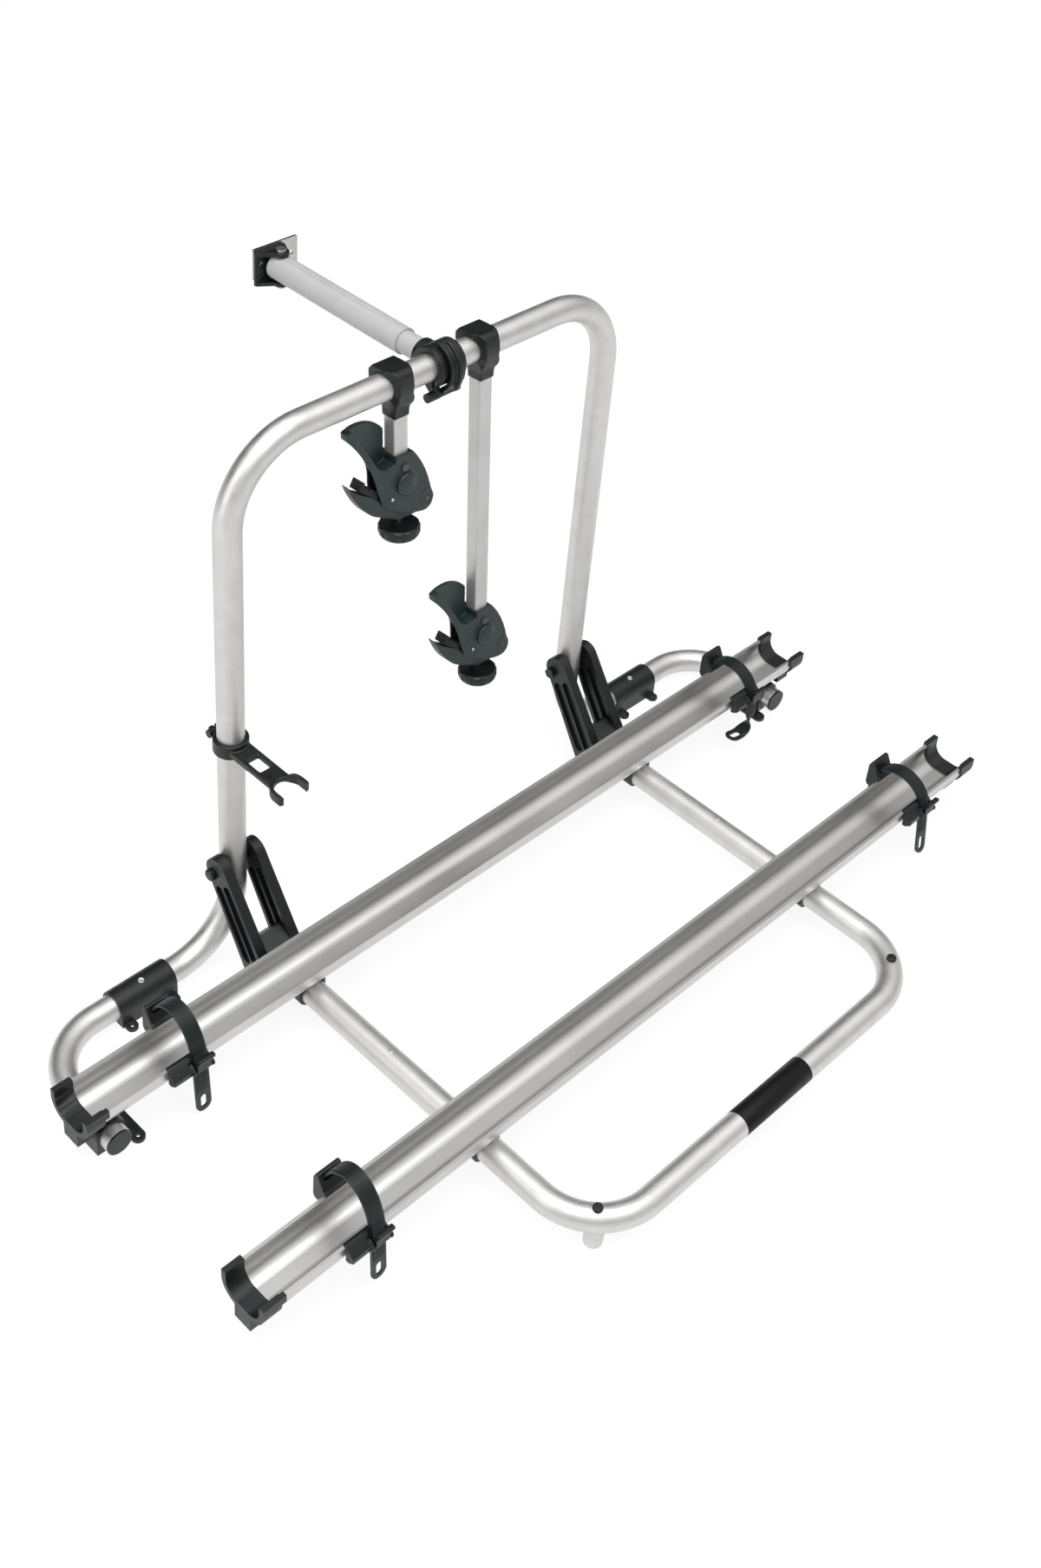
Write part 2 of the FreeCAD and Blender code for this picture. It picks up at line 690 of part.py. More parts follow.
def rail_clamps(y):
    parts = []
    for side in sides.values():
        parts.extend(rail_clamp(side, y).Solids)
    return Part.Compound(parts)


def rail_bolts(y):
    """Bolts that pull each saddle's ears up against the rail, heads below."""
    bolts = []
    seat = deck_z + tube_r + rail_lift - saddle_ear_t
    for side in sides.values():
        for ear in (-1, 1):
            x = side * hoop_half + ear * (tube_r + saddle_wall + saddle_ear / 2)
            head = cyl(clamp_head_d / 2, clamp_head_h, V(x, y, seat), V(0, 0, -1))
            shank = cyl(clamp_bolt_d / 2, saddle_ear_t + clamp_bolt_bite, V(x, y, seat), V(0, 0, 1))
            bolts.append(fused([head, shank]))
    return Part.Compound(bolts)


def half_disc(half_w, a, b):
    """The upper half of an elliptical slab across the strap's width, half-axes a along Y and b up."""
    major = V(0, b, 0) if b > a else V(a, 0, 0)
    minor = V(-a, 0, 0) if b > a else V(0, b, 0)
    face = Part.Face(Part.Wire(Part.Ellipse(major, minor, V(0, 0, 0)).toShape()))
    face.Placement = FreeCAD.Placement(V(-half_w, 0, 0), FreeCAD.Rotation(V(1, 1, 1), 120))
    slab = face.extrude(V(2 * half_w, 0, 0))
    return slab.common(box(-half_w, -a - 1, 0, half_w, a + 1, b + 1))


def tail_strip(length, half_w, half_t):
    """A flat strip that hangs from the arch's front foot and leans forward."""
    strip = box(-half_w, -half_t, -length, half_w, half_t, 0)
    knee = cyl(half_t, 2 * half_w, V(-half_w, 0, 0), V(1, 0, 0))
    return moved(turned(fused([strip, knee]), V(0, 0, 0), V(1, 0, 0), -tail_lean), 0, -strap_front)


def strap_run(side, tail_len, half_w, half_t):
    """Back run, arch over the wheel and hanging tail of a strap, z = 0 where the arch starts."""
    middle = (strap_back - strap_front) / 2
    reach = (strap_back + strap_front) / 2
    rise = arches[side]
    arch = half_disc(half_w, reach + half_t, rise + half_t).cut(half_disc(half_w, reach - half_t, rise - half_t))
    back = box(-half_w, strap_back - half_t, -10, half_w, strap_back + half_t, 0)
    return fused([moved(arch, 0, middle), back, tail_strip(tail_len, half_w, half_t)])


def strap_room(side):
    """The space that a strap needs in its anchor and buckle, seen from the rim."""
    run = strap_run(side, 60, strap_w / 2 + seat_gap, strap_t / 2 + seat_gap)
    return moved(run, 0, 0, -strap_shoulder)


def strap(side, tail_len, y):
    """A flat strap: up from the anchor, over the wheel in an arch, through the buckle and down in a tail."""
    half_w = strap_w / 2
    half_t = strap_t / 2
    whole = strap_run(side, tail_len, half_w, half_t)
    slot_low = -tail_len - tail_slot_w / 2 + 4
    slot_top = slot_low + tail_slot_len - tail_slot_w
    end = cyl(half_w, strap_t, V(0, -half_t, -tail_len), V(0, 1, 0))
    slot = fused([
        cyl(tail_slot_w / 2, 10, V(0, -5, slot_low), V(0, 1, 0)),
        cyl(tail_slot_w / 2, 10, V(0, -5, slot_top), V(0, 1, 0)),
        box(-tail_slot_w / 2, -5, slot_low, tail_slot_w / 2, 5, slot_top)])
    end = moved(turned(end, V(0, 0, 0), V(1, 0, 0), -tail_lean), 0, -strap_front)
    slot = moved(turned(slot, V(0, 0, 0), V(1, 0, 0), -tail_lean), 0, -strap_front)
    whole = fused([whole, end]).cut(slot)
    return moved(whole, straps[side], y, rim_z - strap_shoulder)


def strap_anchor(side, y):
    """Block behind the rail's back rim: holds the strap's fixed end and hooks over the rim."""
    wall = rail_half_w
    top = -anchor_drop + anchor_h
    back = strap_back + strap_t / 2 + 3.5
    profile = outline((wall + 0.05, -anchor_drop), [
        ("to", (back - 3, -anchor_drop)),
        ("to", (back, -anchor_drop + 5)),
        ("to", (back, top - 8)),
        ("to", (back - 4, top)),
        ("to", (strap_back - 4, top)),
        ("to", (wall - 1, 6)),
        ("to", (wall - rail_lip_w - 1, 4)),
        ("to", (wall - rail_lip_w - 1, 0.05)),
        ("to", (wall + 0.05, 0.05))])
    block = along_x(profile, -anchor_w / 2, anchor_w / 2)
    below = moved(strap_room(side), 0, 0, -1)
    block = max(block.cut(strap_room(side)).cut(below).Solids, key=lambda s: s.Volume)
    return moved(block, straps[side], y, rim_z)


def strap_anchors(y):
    return Part.Compound([strap_anchor(side, y) for side in sides])


def buckle_pin_y():
    return -strap_front - strap_t / 2 - slide_gap - lever_hub_r


def strap_buckle(side, y):
    """Base on the rail's front wall, hooked over the rim, with two cheeks and the pin that carry the lever."""
    wall = -rail_half_w
    inner = -strap_front + strap_t / 2 + seat_gap
    hook = wall + rail_lip_w + 1
    profile = outline((wall - 0.05, -buckle_drop), [
        ("to", (wall - 0.05, 0.05)),
        ("to", (hook, 0.05)),
        ("to", (hook, 2.5)),
        ("to", (wall, 3.5)),
        ("to", (inner, -1)),
        ("to", (inner, -buckle_drop + 4)),
        ("to", (inner + 2, -buckle_drop))])
    pieces = [along_x(profile, -buckle_left, buckle_right)]
    shell_y = inner - 8
    side_block = along_x(outline((wall - 1, -buckle_drop), [
        ("to", (wall - 1, -2)),
        ("to", (inner - 1, -2)),
        ("to", (shell_y, -9)),
        ("to", (shell_y, -buckle_drop + 6)),
        ("to", (inner, -buckle_drop))]), -buckle_left, -strap_w / 2 - cheek_t - 1)
    pieces.append(side_block)
    for edge in (-1, 1):
        x0 = edge * (strap_w / 2 + 0.6)
        x1 = x0 + edge * cheek_t
        cheek = tangent_bar((inner - 1, -buckle_pin_drop), 9, (buckle_pin_y(), -buckle_pin_drop), 5)
        cheek = along_x(cheek, min(x0, x1), max(x0, x1))
        pieces.append(cheek.common(box(-60, -90, -60, 60, wall - 0.5, 0)))
    buckle = fused(pieces)
    hole = cyl(buckle_pin_d / 2 + pin_gap, 80, V(-20, buckle_pin_y(), -buckle_pin_drop), V(1, 0, 0))
    reach = strap_w / 2 + 0.6 + cheek_t
    pin = cyl(buckle_pin_d / 2, 2 * reach, V(-reach, buckle_pin_y(), -buckle_pin_drop), V(1, 0, 0))
    buckle = max(buckle.cut(hole).cut(strap_room(side)).Solids, key=lambda s: s.Volume)
    return [moved(buckle, straps[side], y, rim_z), moved(pin, straps[side], y, rim_z)]


def strap_buckles(y):
    return Part.Compound([solid for side in sides for solid in strap_buckle(side, y)])


def strap_lever(side, y):
    """Release lever in front of the strap: a hub on the pin, a plate above it and a thumb lip at the top right."""
    pin_y = buckle_pin_y()
    half = lever_w / 2
    top = lever_rise - buckle_pin_drop
    hub = cyl(lever_hub_r, lever_w, V(-half, pin_y, -buckle_pin_drop), V(1, 0, 0))
    front = pin_y - lever_hub_r
    plate = box(-half, front, -buckle_pin_drop, half, front + lever_t, top)
    lip = along_x(outline((front + lever_t, top - 7), [
        ("to", (front - 2.5, top - 6)),
        ("to", (front - 4, top - 1)),
        ("to", (front - 2, top + 1)),
        ("to", (front + lever_t, top))]), -half, half + lever_lip)
    bore = cyl(buckle_pin_d / 2 + pin_gap, lever_w + 4, V(-half - 2, pin_y, -buckle_pin_drop), V(1, 0, 0))
    return moved(fused([hub, plate, lip]).cut(bore), straps[side], y, rim_z)


def arm_place(shape, name):
    """Hang a piece that is drawn round the bar's axis at the origin on its arm."""
    leaned = turned(shape, V(0, 0, 0), V(1, 0, 0), -arm_lean)
    return moved(leaned, arm_x[name], hoop_y, top_z)


def claw_place(shape, name):
    """Hang a claw piece, drawn from the arm tube's visible lower end, on its arm."""
    return arm_place(moved(shape, 0, 0, -arm_drop[name]), name)


def square_tube(side, wall, length, top):
    def bar(s, r):
        b = box(-s / 2, -s / 2, top - length, s / 2, s / 2, top)
        return b.makeFillet(r, [e for e in b.Edges if abs(e.BoundBox.ZLength - length) < 1e-6])

    return bar(side, arm_corner_r).cut(bar(side - 2 * wall, arm_corner_r - wall / 2))


def arm_clamp(name):
    """Moulded clamp round the top bar, tapering to a square collar over the arm tube."""
    half = clamp_w / 2
    block = along_x(outline((20, -12), [
        ("to", (23, 4)),
        ("to", (23, 17)),
        ("to", (17, 24)),
        ("to", (-13, 24)),
        ("arc", (-21, 22), (-25, 15)),
        ("arc", (-26.5, 2), (-24, -9)),
        ("arc", (-19, -21), (-collar_half - 1, -30)),
        ("to", (-collar_half, -clamp_collar_drop)),
        ("to", (collar_half, -clamp_collar_drop)),
        ("to", (collar_half, -27))]), -half, half)
    for edge in (-1, 1):
        trim = along_y(outline((edge * collar_half, -clamp_collar_drop - 1), [
            ("to", (edge * collar_half, -34)),
            ("arc", (edge * (collar_half + 1.5), -24), (edge * (half + 0.01), -14)),
            ("to", (edge * (half + 5), -14)),
            ("to", (edge * (half + 5), -clamp_collar_drop - 1))]), 40)
        nose = Part.Face(outline((edge * (half + 1), -6), [
            ("to", (edge * half, -8)),
            ("to", (edge * clamp_front_half, -24)),
            ("to", (edge * clamp_front_half, -40)),
            ("to", (edge * (half + 1), -40))])).extrude(V(0, 0, 90))
        block = block.cut(trim).cut(moved(nose, 0, 0, -45))
    block = block.cut(cyl(tube_r + slide_gap, clamp_w + 2, V(-half - 1, 0, 0), V(1, 0, 0)))
    side = arm_side + 2 * seat_gap
    socket = box(-side / 2, -side / 2, -clamp_collar_drop - 1, side / 2, side / 2, -clamp_socket_drop)
    slit = box(-half - 1, 15, -9, half + 1, 30, -6)
    return arm_place(block.cut(socket).cut(slit), name)


def arm_tube(name):
    top = -clamp_socket_drop - 1
    length = arm_drop[name] + tube_in_claw + top
    hole = cyl(claw_screw_d / 2 + pin_gap, 60, V(0, -30, -arm_drop[name] - claw_screw_drop), V(0, 1, 0))
    return arm_place(square_tube(arm_side, arm_wall, length, top).cut(hole), name)


def claw_outline():
    """The fixed half seen from the front: beak above left, hub round the tube's end, shoulder down to the hinge."""
    return outline((-84, 62), [
        ("arc", (-46, 60), (-14, 38)),
        ("to", (-14, 6)),
        ("to", (15, 6)),
        ("arc", (37, -20), (56, -66)),
        ("arc", (54, -80), (42, -87)),
        ("arc", (4, -79), (-34, -54)),
        ("to", (-42, -30)),
        ("arc", (-58, 14), (-84, 53))])


def beak_taper():
    """Wedge that thins the front face of the claw from the hub out to the beak's tip."""
    wedge = turned(box(-90, -20, -120, 0, 0, 90), V(0, 0, 0), V(0, 0, 1), -beak_angle)
    return moved(wedge, -beak_from, -claw_half_t)


def beak_recess():
    """Hollow in the front between the beak's rim and the tube, back to the web."""
    wire = outline((-80, 70), [
        ("to", (-65, 44)),
        ("to", (-54, 25)),
        ("to", (-39, -1)),
        ("to", (-27, -6)),
        ("to", (-14, -3)),
        ("to", (-13, 6)),
        ("to", (-13, 70))])
    front = -claw_half_t - 1
    return moved(along_y(wire, (web_front - front) / 2), 0, (web_front + front) / 2)


def claw_body(name):
    """Fixed half of the claw: a long curved beak and a hub with two cheeks that straddle the jaw."""
    body = along_y(claw_outline(), claw_half_t)
    jaw_room = along_y(outline((-75, 14), [
        ("to", (-31, -10)),
        ("to", (-20, -39)),
        ("to", (16, -39)),
        ("to", (30, -54)),
        ("to", (75, -56)),
        ("to", (75, -110)),
        ("to", (-75, -110))]), slot_half)
    body = body.cut(jaw_room).cut(beak_taper()).cut(beak_recess())
    boss = cyl(hub_boss_r, 2 * claw_half_t + 3, V(1, -claw_half_t - 1.5, -33), V(0, 1, 0))
    ring = cyl(14, 1.2, V(jaw_pin[0], -claw_half_t - 1.2, jaw_pin[1]), V(0, 1, 0))
    body = fused([body, boss, ring])
    side = arm_side + 2 * seat_gap
    body = body.cut(box(-side / 2, -side / 2, -tube_in_claw - 0.5, side / 2, side / 2, 50))
    body = body.cut(box(-30, -slot_half, -60, 30, slot_half, -39))
    pin = cyl(jaw_pin_d / 2 + pin_gap, 60, V(jaw_pin[0], -30, jaw_pin[1]), V(0, 1, 0))
    screw = cyl(claw_screw_d / 2 + pin_gap, 60, V(0, -30, -claw_screw_drop), V(0, 1, 0))
    return claw_place(body.cut(pin).cut(screw), name)


def claw_pins(name):
    """Hinge pin of the jaw and the cross screw that holds the tube in the claw."""
    reach = claw_half_t + 1.2
    pin = cyl(jaw_pin_d / 2, 2 * reach, V(jaw_pin[0], -reach, jaw_pin[1]), V(0, 1, 0))
    start = V(0, -claw_half_t, -claw_screw_drop)
    head = cyl(claw_screw_d * 0.85, 2.2, start, V(0, -1, 0))
    shank = cyl(claw_screw_d / 2, 2 * claw_half_t, start, V(0, 1, 0))
    return claw_place(Part.Compound([pin, fused([head, shank])]), name)


def jaw_upper():
    """Ends of the jaw's seat for the pad."""
    return (-84.0, -10.0), (-44.0, -40.0)


def claw_jaw(name):
    """Moving half of the claw, between the cheeks, lifted by the knob below."""
    left, right = jaw_upper()
    px, pz = jaw_pin
    jaw = along_y(outline((-93, 2), [
        ("arc", (-64, -47), (-14, -89)),
        ("arc", (14, -97), (px, pz - jaw_pin_r)),
        ("arc", (px + jaw_pin_r, pz), (px, pz + jaw_pin_r)),
        ("to", (-22, -58)),
        ("to", right),
        ("to", left)]), jaw_half_t)
    jaw = jaw.cut(box(-30, -30, -120, 30, 30, jaw_flat))
    hinge = cyl(jaw_pin_d / 2 + pin_gap, 60, V(px, -30, pz), V(0, 1, 0))
    spindle = cyl(spindle_d / 2 + pin_gap, 100, V(spindle_x, 0, -130), V(0, 0, 1))
    return claw_place(jaw.cut(hinge).cut(spindle), name)


def jaw_pad(name):
    """Toothed grip strip along the jaw's upper edge, its outer tooth taller."""
    left, right = jaw_upper()
    teeth = 4
    run = (right[0] - left[0], right[1] - left[1])
    length = math.hypot(run[0], run[1])
    normal = (-run[1] / length, run[0] / length)
    steps = []
    for i in range(teeth):
        crest = 13.0 if i == 0 else 9.0
        for along, height in ((0.15, crest), (0.6, crest), (1.0, 5.0)):
            t = (i + along) / teeth
            steps.append(("to", (left[0] + run[0] * t + normal[0] * height, left[1] + run[1] * t + normal[1] * height)))
    steps.append(("to", right))
    return claw_place(along_y(outline(left, steps), jaw_half_t), name)


def claw_spindle(name):
    """Screw that the knob runs on, with a cross head between the claw's cheeks."""
    low = knob_top - knob_h + 5
    rod = cyl(spindle_d / 2, spindle_top - low, V(spindle_x, 0, low), V(0, 0, 1))
    head = cyl(4, 2 * jaw_half_t - 2, V(spindle_x, -jaw_half_t + 1, spindle_top - 2), V(0, 1, 0))
    return claw_place(fused([rod, head]), name)


def claw_knob(name):
    """Fluted hand knob: revolved body with scallops round its rim."""
    low = knob_top - knob_h
    profile = outline((0, low), [
        ("to", (knob_r - 10, low)),
        ("arc", (knob_r - 2.5, low + 4), (knob_r, low + 12)),
        ("to", (knob_r, knob_top - 2)),
        ("to", (knob_r - 2, knob_top)),
        ("to", (knob_boss_r, knob_top)),
        ("to", (knob_boss_r, jaw_flat - slide_gap)),
        ("to", (0, jaw_flat - slide_gap))])
    face = Part.Face(profile)
    face.rotate(V(0, 0, 0), V(1, 0, 0), 90)
    knob = face.revolve(V(0, 0, 0), V(0, 0, 1), 360)
    for i in range(knob_flutes):
        angle = 2 * math.pi * i / knob_flutes
        spot = V((knob_r + 2.6) * math.cos(angle), (knob_r + 2.6) * math.sin(angle), low - 1)
        knob = knob.cut(cyl(4.2, knob_h + 3, spot, V(0, 0, 1)))
    knob = moved(knob, spindle_x)
    bore_low = knob_top - knob_h + 4
    bore = cyl(spindle_d / 2 + pin_gap, 60, V(spindle_x, 0, bore_low), V(0, 0, 1))
    return claw_place(knob.cut(bore), name)


def strut_place(shape):
    return moved(shape, strut_x, hoop_y, top_z)


def polar(r, degrees):
    """A point in the (y, z) plane round the bar: 0 is back, 90 is up, 180 is forward."""
    return (r * math.cos(math.radians(degrees)), r * math.sin(math.radians(degrees)))


def strut_clamp():
    """Clamp round the top bar with a boss for the strut tube and two ears below for the lever."""
    half = strut_clamp_w / 2
    ring = cyl(strut_clamp_r, strut_clamp_w, V(-half, 0, 0), V(1, 0, 0))
    boss_r = strut_inner_d / 2 + 4
    boss = cyl(boss_r, clamp_boss_reach, V(0, 0, 0), V(0, 1, 0))
    ears = []
    for edge in (-1, 1):
        x0 = edge * (lever_band_w / 2 + slide_gap)
        x1 = edge * half
        ear = along_x(tangent_bar((0, -strut_clamp_r + 8), 9, (lever_pin_y, -lever_pin_drop), 6), min(x0, x1), max(x0, x1))
        ears.append(ear)
    body = fused([ring, boss] + ears)
    body = body.cut(cyl(tube_r + slide_gap, strut_clamp_w + 2, V(-half - 1, 0, 0), V(1, 0, 0)))
    socket = cyl(strut_inner_d / 2 + seat_gap, 60, V(0, tube_r + 2.5, 0), V(0, 1, 0))
    slit = box(-half - 1, -12, -strut_clamp_r - 14, half + 1, -9.5, -12)
    pin = cyl(lever_pin_d / 2 + pin_gap, 80, V(-40, lever_pin_y, -lever_pin_drop), V(1, 0, 0))
    body = body.cut(socket).cut(pin)
    keep = body.cut(slit.common(cyl(strut_clamp_r + 1, strut_clamp_w + 4, V(-half - 2, 0, 0), V(1, 0, 0))))
    return strut_place(max(keep.Solids, key=lambda s: s.Volume))


def strut_pin():
    """Lever pin of the strut clamp, with a round thumb end on its left."""
    half = strut_clamp_w / 2
    start = V(-half, lever_pin_y, -lever_pin_drop)
    pin = cyl(lever_pin_d / 2, strut_clamp_w + 2, start, V(1, 0, 0))
    thumb = cyl(lever_pin_d, 12, start, V(-1, 0, 0))
    return strut_place(fused([pin, thumb]))


def strut_lever():
    """Clamping lever: a curved band over the front of the clamp with a raised rib, hinged below."""
    half = lever_band_w / 2

    def band(r_in, r_out, start, stop):
        mid = (start + stop) / 2
        return outline(polar(r_in, start), [
            ("arc", polar(r_in, mid), polar(r_in, stop)),
            ("to", polar(r_out, stop)),
            ("arc", polar(r_out, mid), polar(r_out, start))])

    plate = along_x(band(lever_in_r, lever_out_r, lever_from, lever_to), -half, half)
    rib = along_x(band(lever_in_r + 1, lever_rib_r, lever_from + 14, lever_to - 24), -lever_rib_w / 2, lever_rib_w / 2)
    hub = cyl(5.4, lever_band_w, V(-half, lever_pin_y, -lever_pin_drop), V(1, 0, 0))
    tail = along_x(tangent_bar(polar(lever_in_r + 3, lever_to - 3), 3, (lever_pin_y, -lever_pin_drop), 4.5), -half, half)
    lever = fused([plate, rib, hub, tail])
    lever = lever.cut(cyl(strut_clamp_r + slide_gap, lever_band_w + 2, V(-half - 1, 0, 0), V(1, 0, 0)))
    return strut_place(lever.cut(cyl(lever_pin_d / 2 + pin_gap, 60, V(-30, lever_pin_y, -lever_pin_drop), V(1, 0, 0))))


def strut_tube_inner():
    start = tube_r + 3
    end = strut_step + strut_overlap
    outer = cyl(strut_inner_d / 2, end - start, V(0, start, 0), V(0, 1, 0))
    return strut_place(outer.cut(cyl(strut_inner_d / 2 - strut_wall, end, V(0, start - 1, 0), V(0, 1, 0))))


def strut_outer_end():
    return strut_reach - plate_t - bracket_back_t - strut_end_gap


def strut_tube_outer():
    end = strut_outer_end()
    outer = cyl(strut_outer_d / 2, end - strut_step, V(0, strut_step, 0), V(0, 1, 0))
    outer = outer.cut(cyl(strut_outer_d / 2 - strut_wall, 2 * end, V(0, strut_step - 1, 0), V(0, 1, 0)))
    hole = cyl(wall_bolt_d / 2 + pin_gap, 80, V(0, strut_reach - wall_bolt_back, -40), V(0, 0, 1))
    return strut_place(outer.cut(hole))


def wall_plate():
    plate = box(-plate_w / 2, strut_reach - plate_t, -plate_h / 2, plate_w / 2, strut_reach, plate_h / 2)
    plate = plate.makeFillet(2, [e for e in plate.Edges if abs(e.BoundBox.YLength - plate_t) < 1e-6])
    for edge in (-1, 1):
        spot = V(edge * plate_hole_x / 2, strut_reach - plate_t - 1, 0)
        plate = plate.cut(cyl(plate_hole_d / 2, plate_t + 2, spot, V(0, 1, 0)))
    return strut_place(moved(plate, plate_x, 0, plate_rise))


def wall_bracket():
    """Moulded hinge bracket: a back on the left of the plate and two lugs that narrow towards the bolt."""
    back = strut_reach - plate_t
    left = plate_x - plate_w / 2
    right = tube_r
    low = -tube_r - lug_gap - lug_t
    high = tube_r + lug_gap + lug_t
    bolt_y = strut_reach - wall_bolt_back
    nose = lug_reach - (wall_bolt_back - plate_t)
    plan = outline((left, back), [
        ("to", (left, back - bracket_back_t)),
        ("to", (-nose, bolt_y)),
        ("arc", (0, bolt_y - nose), (nose, bolt_y)),
        ("to", (right, back - bracket_back_t)),
        ("to", (right, back))])
    block = moved(Part.Face(plan).extrude(V(0, 0, high - low)), 0, 0, low)
    room = box(left - 1, bolt_y - lug_reach, -tube_r - lug_gap, plate_w, back - bracket_back_t, tube_r + lug_gap)
    block = block.cut(room)
    screw = V(plate_x - plate_hole_x / 2, back - 10, plate_rise)
    block = block.cut(cyl(plate_hole_d / 2, 20, screw, V(0, 1, 0)))
    block = block.cut(cyl(wall_bolt_d / 2 + pin_gap, 80, V(0, bolt_y, -40), V(0, 0, 1)))
    return strut_place(block)


def wall_bolt():
    """Upright bolt through the bracket's lugs and the strut's end."""
    y = strut_reach - wall_bolt_back
    reach = tube_r + lug_gap + lug_t
    shank = cyl(wall_bolt_d / 2, 2 * reach, V(0, y, -reach), V(0, 0, 1))
    head = cyl(wall_bolt_d * 0.8, 4, V(0, y, reach), V(0, 0, 1))
    nut = cyl(wall_bolt_d * 0.8, 4, V(0, y, -reach), V(0, 0, -1))
    return strut_place(fused([shank, head, nut]))


def build():
    parts = {
        "hoop_frame": hoop_frame(),
        "end_plugs": end_plugs(),
        "frame_bolts": frame_bolts(),
        "platform_clip": platform_clip(),
        "platform_frame": platform_frame(),
        "fork_screws": fork_screws(),
        "platform_feet": platform_feet(),
        "corner_plugs": corner_plugs(),
        "strut_clamp": strut_clamp(),
        "strut_pin": strut_pin(),
        "strut_lever": strut_lever(),
        "strut_tube_inner": strut_tube_inner(),
        "strut_tube_outer": strut_tube_outer(),
        "wall_plate": wall_plate(),
        "wall_bracket": wall_bracket(),
        "wall_bolt": wall_bolt(),
    }
    for name, side in sides.items():
        parts["foot_tube_" + name] = foot_tube(side)
        parts["floor_sleeve_" + name] = floor_sleeve(side)
        parts["end_foot_" + name] = end_foot(side)
        parts["fork_" + name] = fork(side)
    for rail, y in rails.items():
        parts["wheel_rail_" + rail] = wheel_rail(y)
        parts["rail_caps_" + rail] = rail_caps(y)
        parts["rail_clamps_" + rail] = rail_clamps(y)
        parts["rail_bolts_" + rail] = rail_bolts(y)
        parts["strap_anchors_" + rail] = strap_anchors(y)
        parts["strap_buckles_" + rail] = strap_buckles(y)
        for side in sides:
            parts["strap_" + rail + "_" + side] = strap(side, tails[rail + "_" + side], y)
            parts["strap_lever_" + rail + "_" + side] = strap_lever(side, y)
    for name in arm_x:
        parts["arm_clamp_" + name] = arm_clamp(name)
        parts["arm_tube_" + name] = arm_tube(name)
        parts["claw_body_" + name] = claw_body(name)
        parts["claw_pins_" + name] = claw_pins(name)
        parts["claw_jaw_" + name] = claw_jaw(name)
        parts["jaw_pad_" + name] = jaw_pad(name)
        parts["claw_spindle_" + name] = claw_spindle(name)
        parts["claw_knob_" + name] = claw_knob(name)
    return parts


os.makedirs("parts", exist_ok=True)
for node, shape in build().items():
    shape.exportStep("parts/" + node + ".step")
    print(node, len(shape.Solids), round(shape.Volume / 1000, 1), shape.isValid())
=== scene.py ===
import bisect
import math
import bmesh
import bpy
from mathutils import Matrix, Vector


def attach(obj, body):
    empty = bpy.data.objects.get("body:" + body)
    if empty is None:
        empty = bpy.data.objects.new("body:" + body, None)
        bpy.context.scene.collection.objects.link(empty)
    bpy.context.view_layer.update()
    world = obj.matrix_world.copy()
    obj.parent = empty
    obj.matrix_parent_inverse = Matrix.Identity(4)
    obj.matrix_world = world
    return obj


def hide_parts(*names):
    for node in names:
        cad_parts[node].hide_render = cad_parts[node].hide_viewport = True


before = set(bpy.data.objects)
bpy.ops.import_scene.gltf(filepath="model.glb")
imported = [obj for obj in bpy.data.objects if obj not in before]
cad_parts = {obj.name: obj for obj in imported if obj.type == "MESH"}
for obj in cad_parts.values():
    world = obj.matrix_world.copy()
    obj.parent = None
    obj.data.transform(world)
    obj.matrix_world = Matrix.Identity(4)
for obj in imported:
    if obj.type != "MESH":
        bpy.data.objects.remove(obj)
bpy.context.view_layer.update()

# Places on the rack, in metres, in the frame's own axes
MM = 0.001
TUBE_R = 17.5 * MM
HOOP_Y = 180.5 * MM            # the hoop's plane
HOOP_HALF = 313.0 * MM         # middle plane to a post's axis
BASE_Z = 23.0 * MM             # axes of the foot tubes
DECK_Z = 44.0 * MM             # axes of the platform's tubes
TOP_Z = 783.0 * MM             # axis of the top bar
FRONT_Y = HOOP_Y - 661.5 * MM  # axis of the platform's front bar
RIM_Z = 96.0 * MM              # upper edges of the wheel rails
RAIL_Y = {"rear": HOOP_Y - 143.3 * MM, "front": HOOP_Y - 463.5 * MM}

# Bike arms: place along the top bar, length from the bar's axis to the tube's visible lower end, and lean
ARM_X = {"1": -62.0 * MM, "2": 79.0 * MM}
ARM_DROP = {"1": 99.0 * MM, "2": 394.0 * MM}
ARM_LEAN = math.radians(3.8)

# Straps: each goes up from its anchor, over the wheel in an arch, through its buckle and down as a tail
STRAP_X = {"left": -509.0 * MM, "right": 538.0 * MM}
STRAP_HALF_W = 11.0 * MM
STRAP_T = 2.6 * MM
STRAP_BACK = 47.0 * MM         # rail's middle to the strap's back run
STRAP_FRONT = 40.5 * MM        # rail's middle to the strap's front run
STRAP_SHOULDER = 18.0 * MM     # the arch starts this far below the rail's rim
STRAP_ROOT = (10.0 * MM, 2.0 * MM)  # the back run's first two points, below the arch's start
STRAP_EDGE = 2.6 * MM          # plain edge on either side of the ribs
STRAP_END = 34.0 * MM          # plain, slotted end
STRAP_LAP = 0.4 * MM           # overlap of the ribbed run with the plain end

# Heights of the arches
ARCH = {"rear_left": 68.0 * MM, "rear_right": 44.0 * MM, "front_left": 73.0 * MM, "front_right": 45.0 * MM}
ARCH_STEPS = 60

# One rib: places along its pitch, each with its rise as a part of the rib's height
RIB_PITCH = 2.7 * MM
RIB_H = 0.8 * MM
RIB_FOOT = 0.05
RIB_PROFILE = ((0.0, RIB_FOOT), (0.14, 1.0), (0.5, 1.0), (0.64, RIB_FOOT))

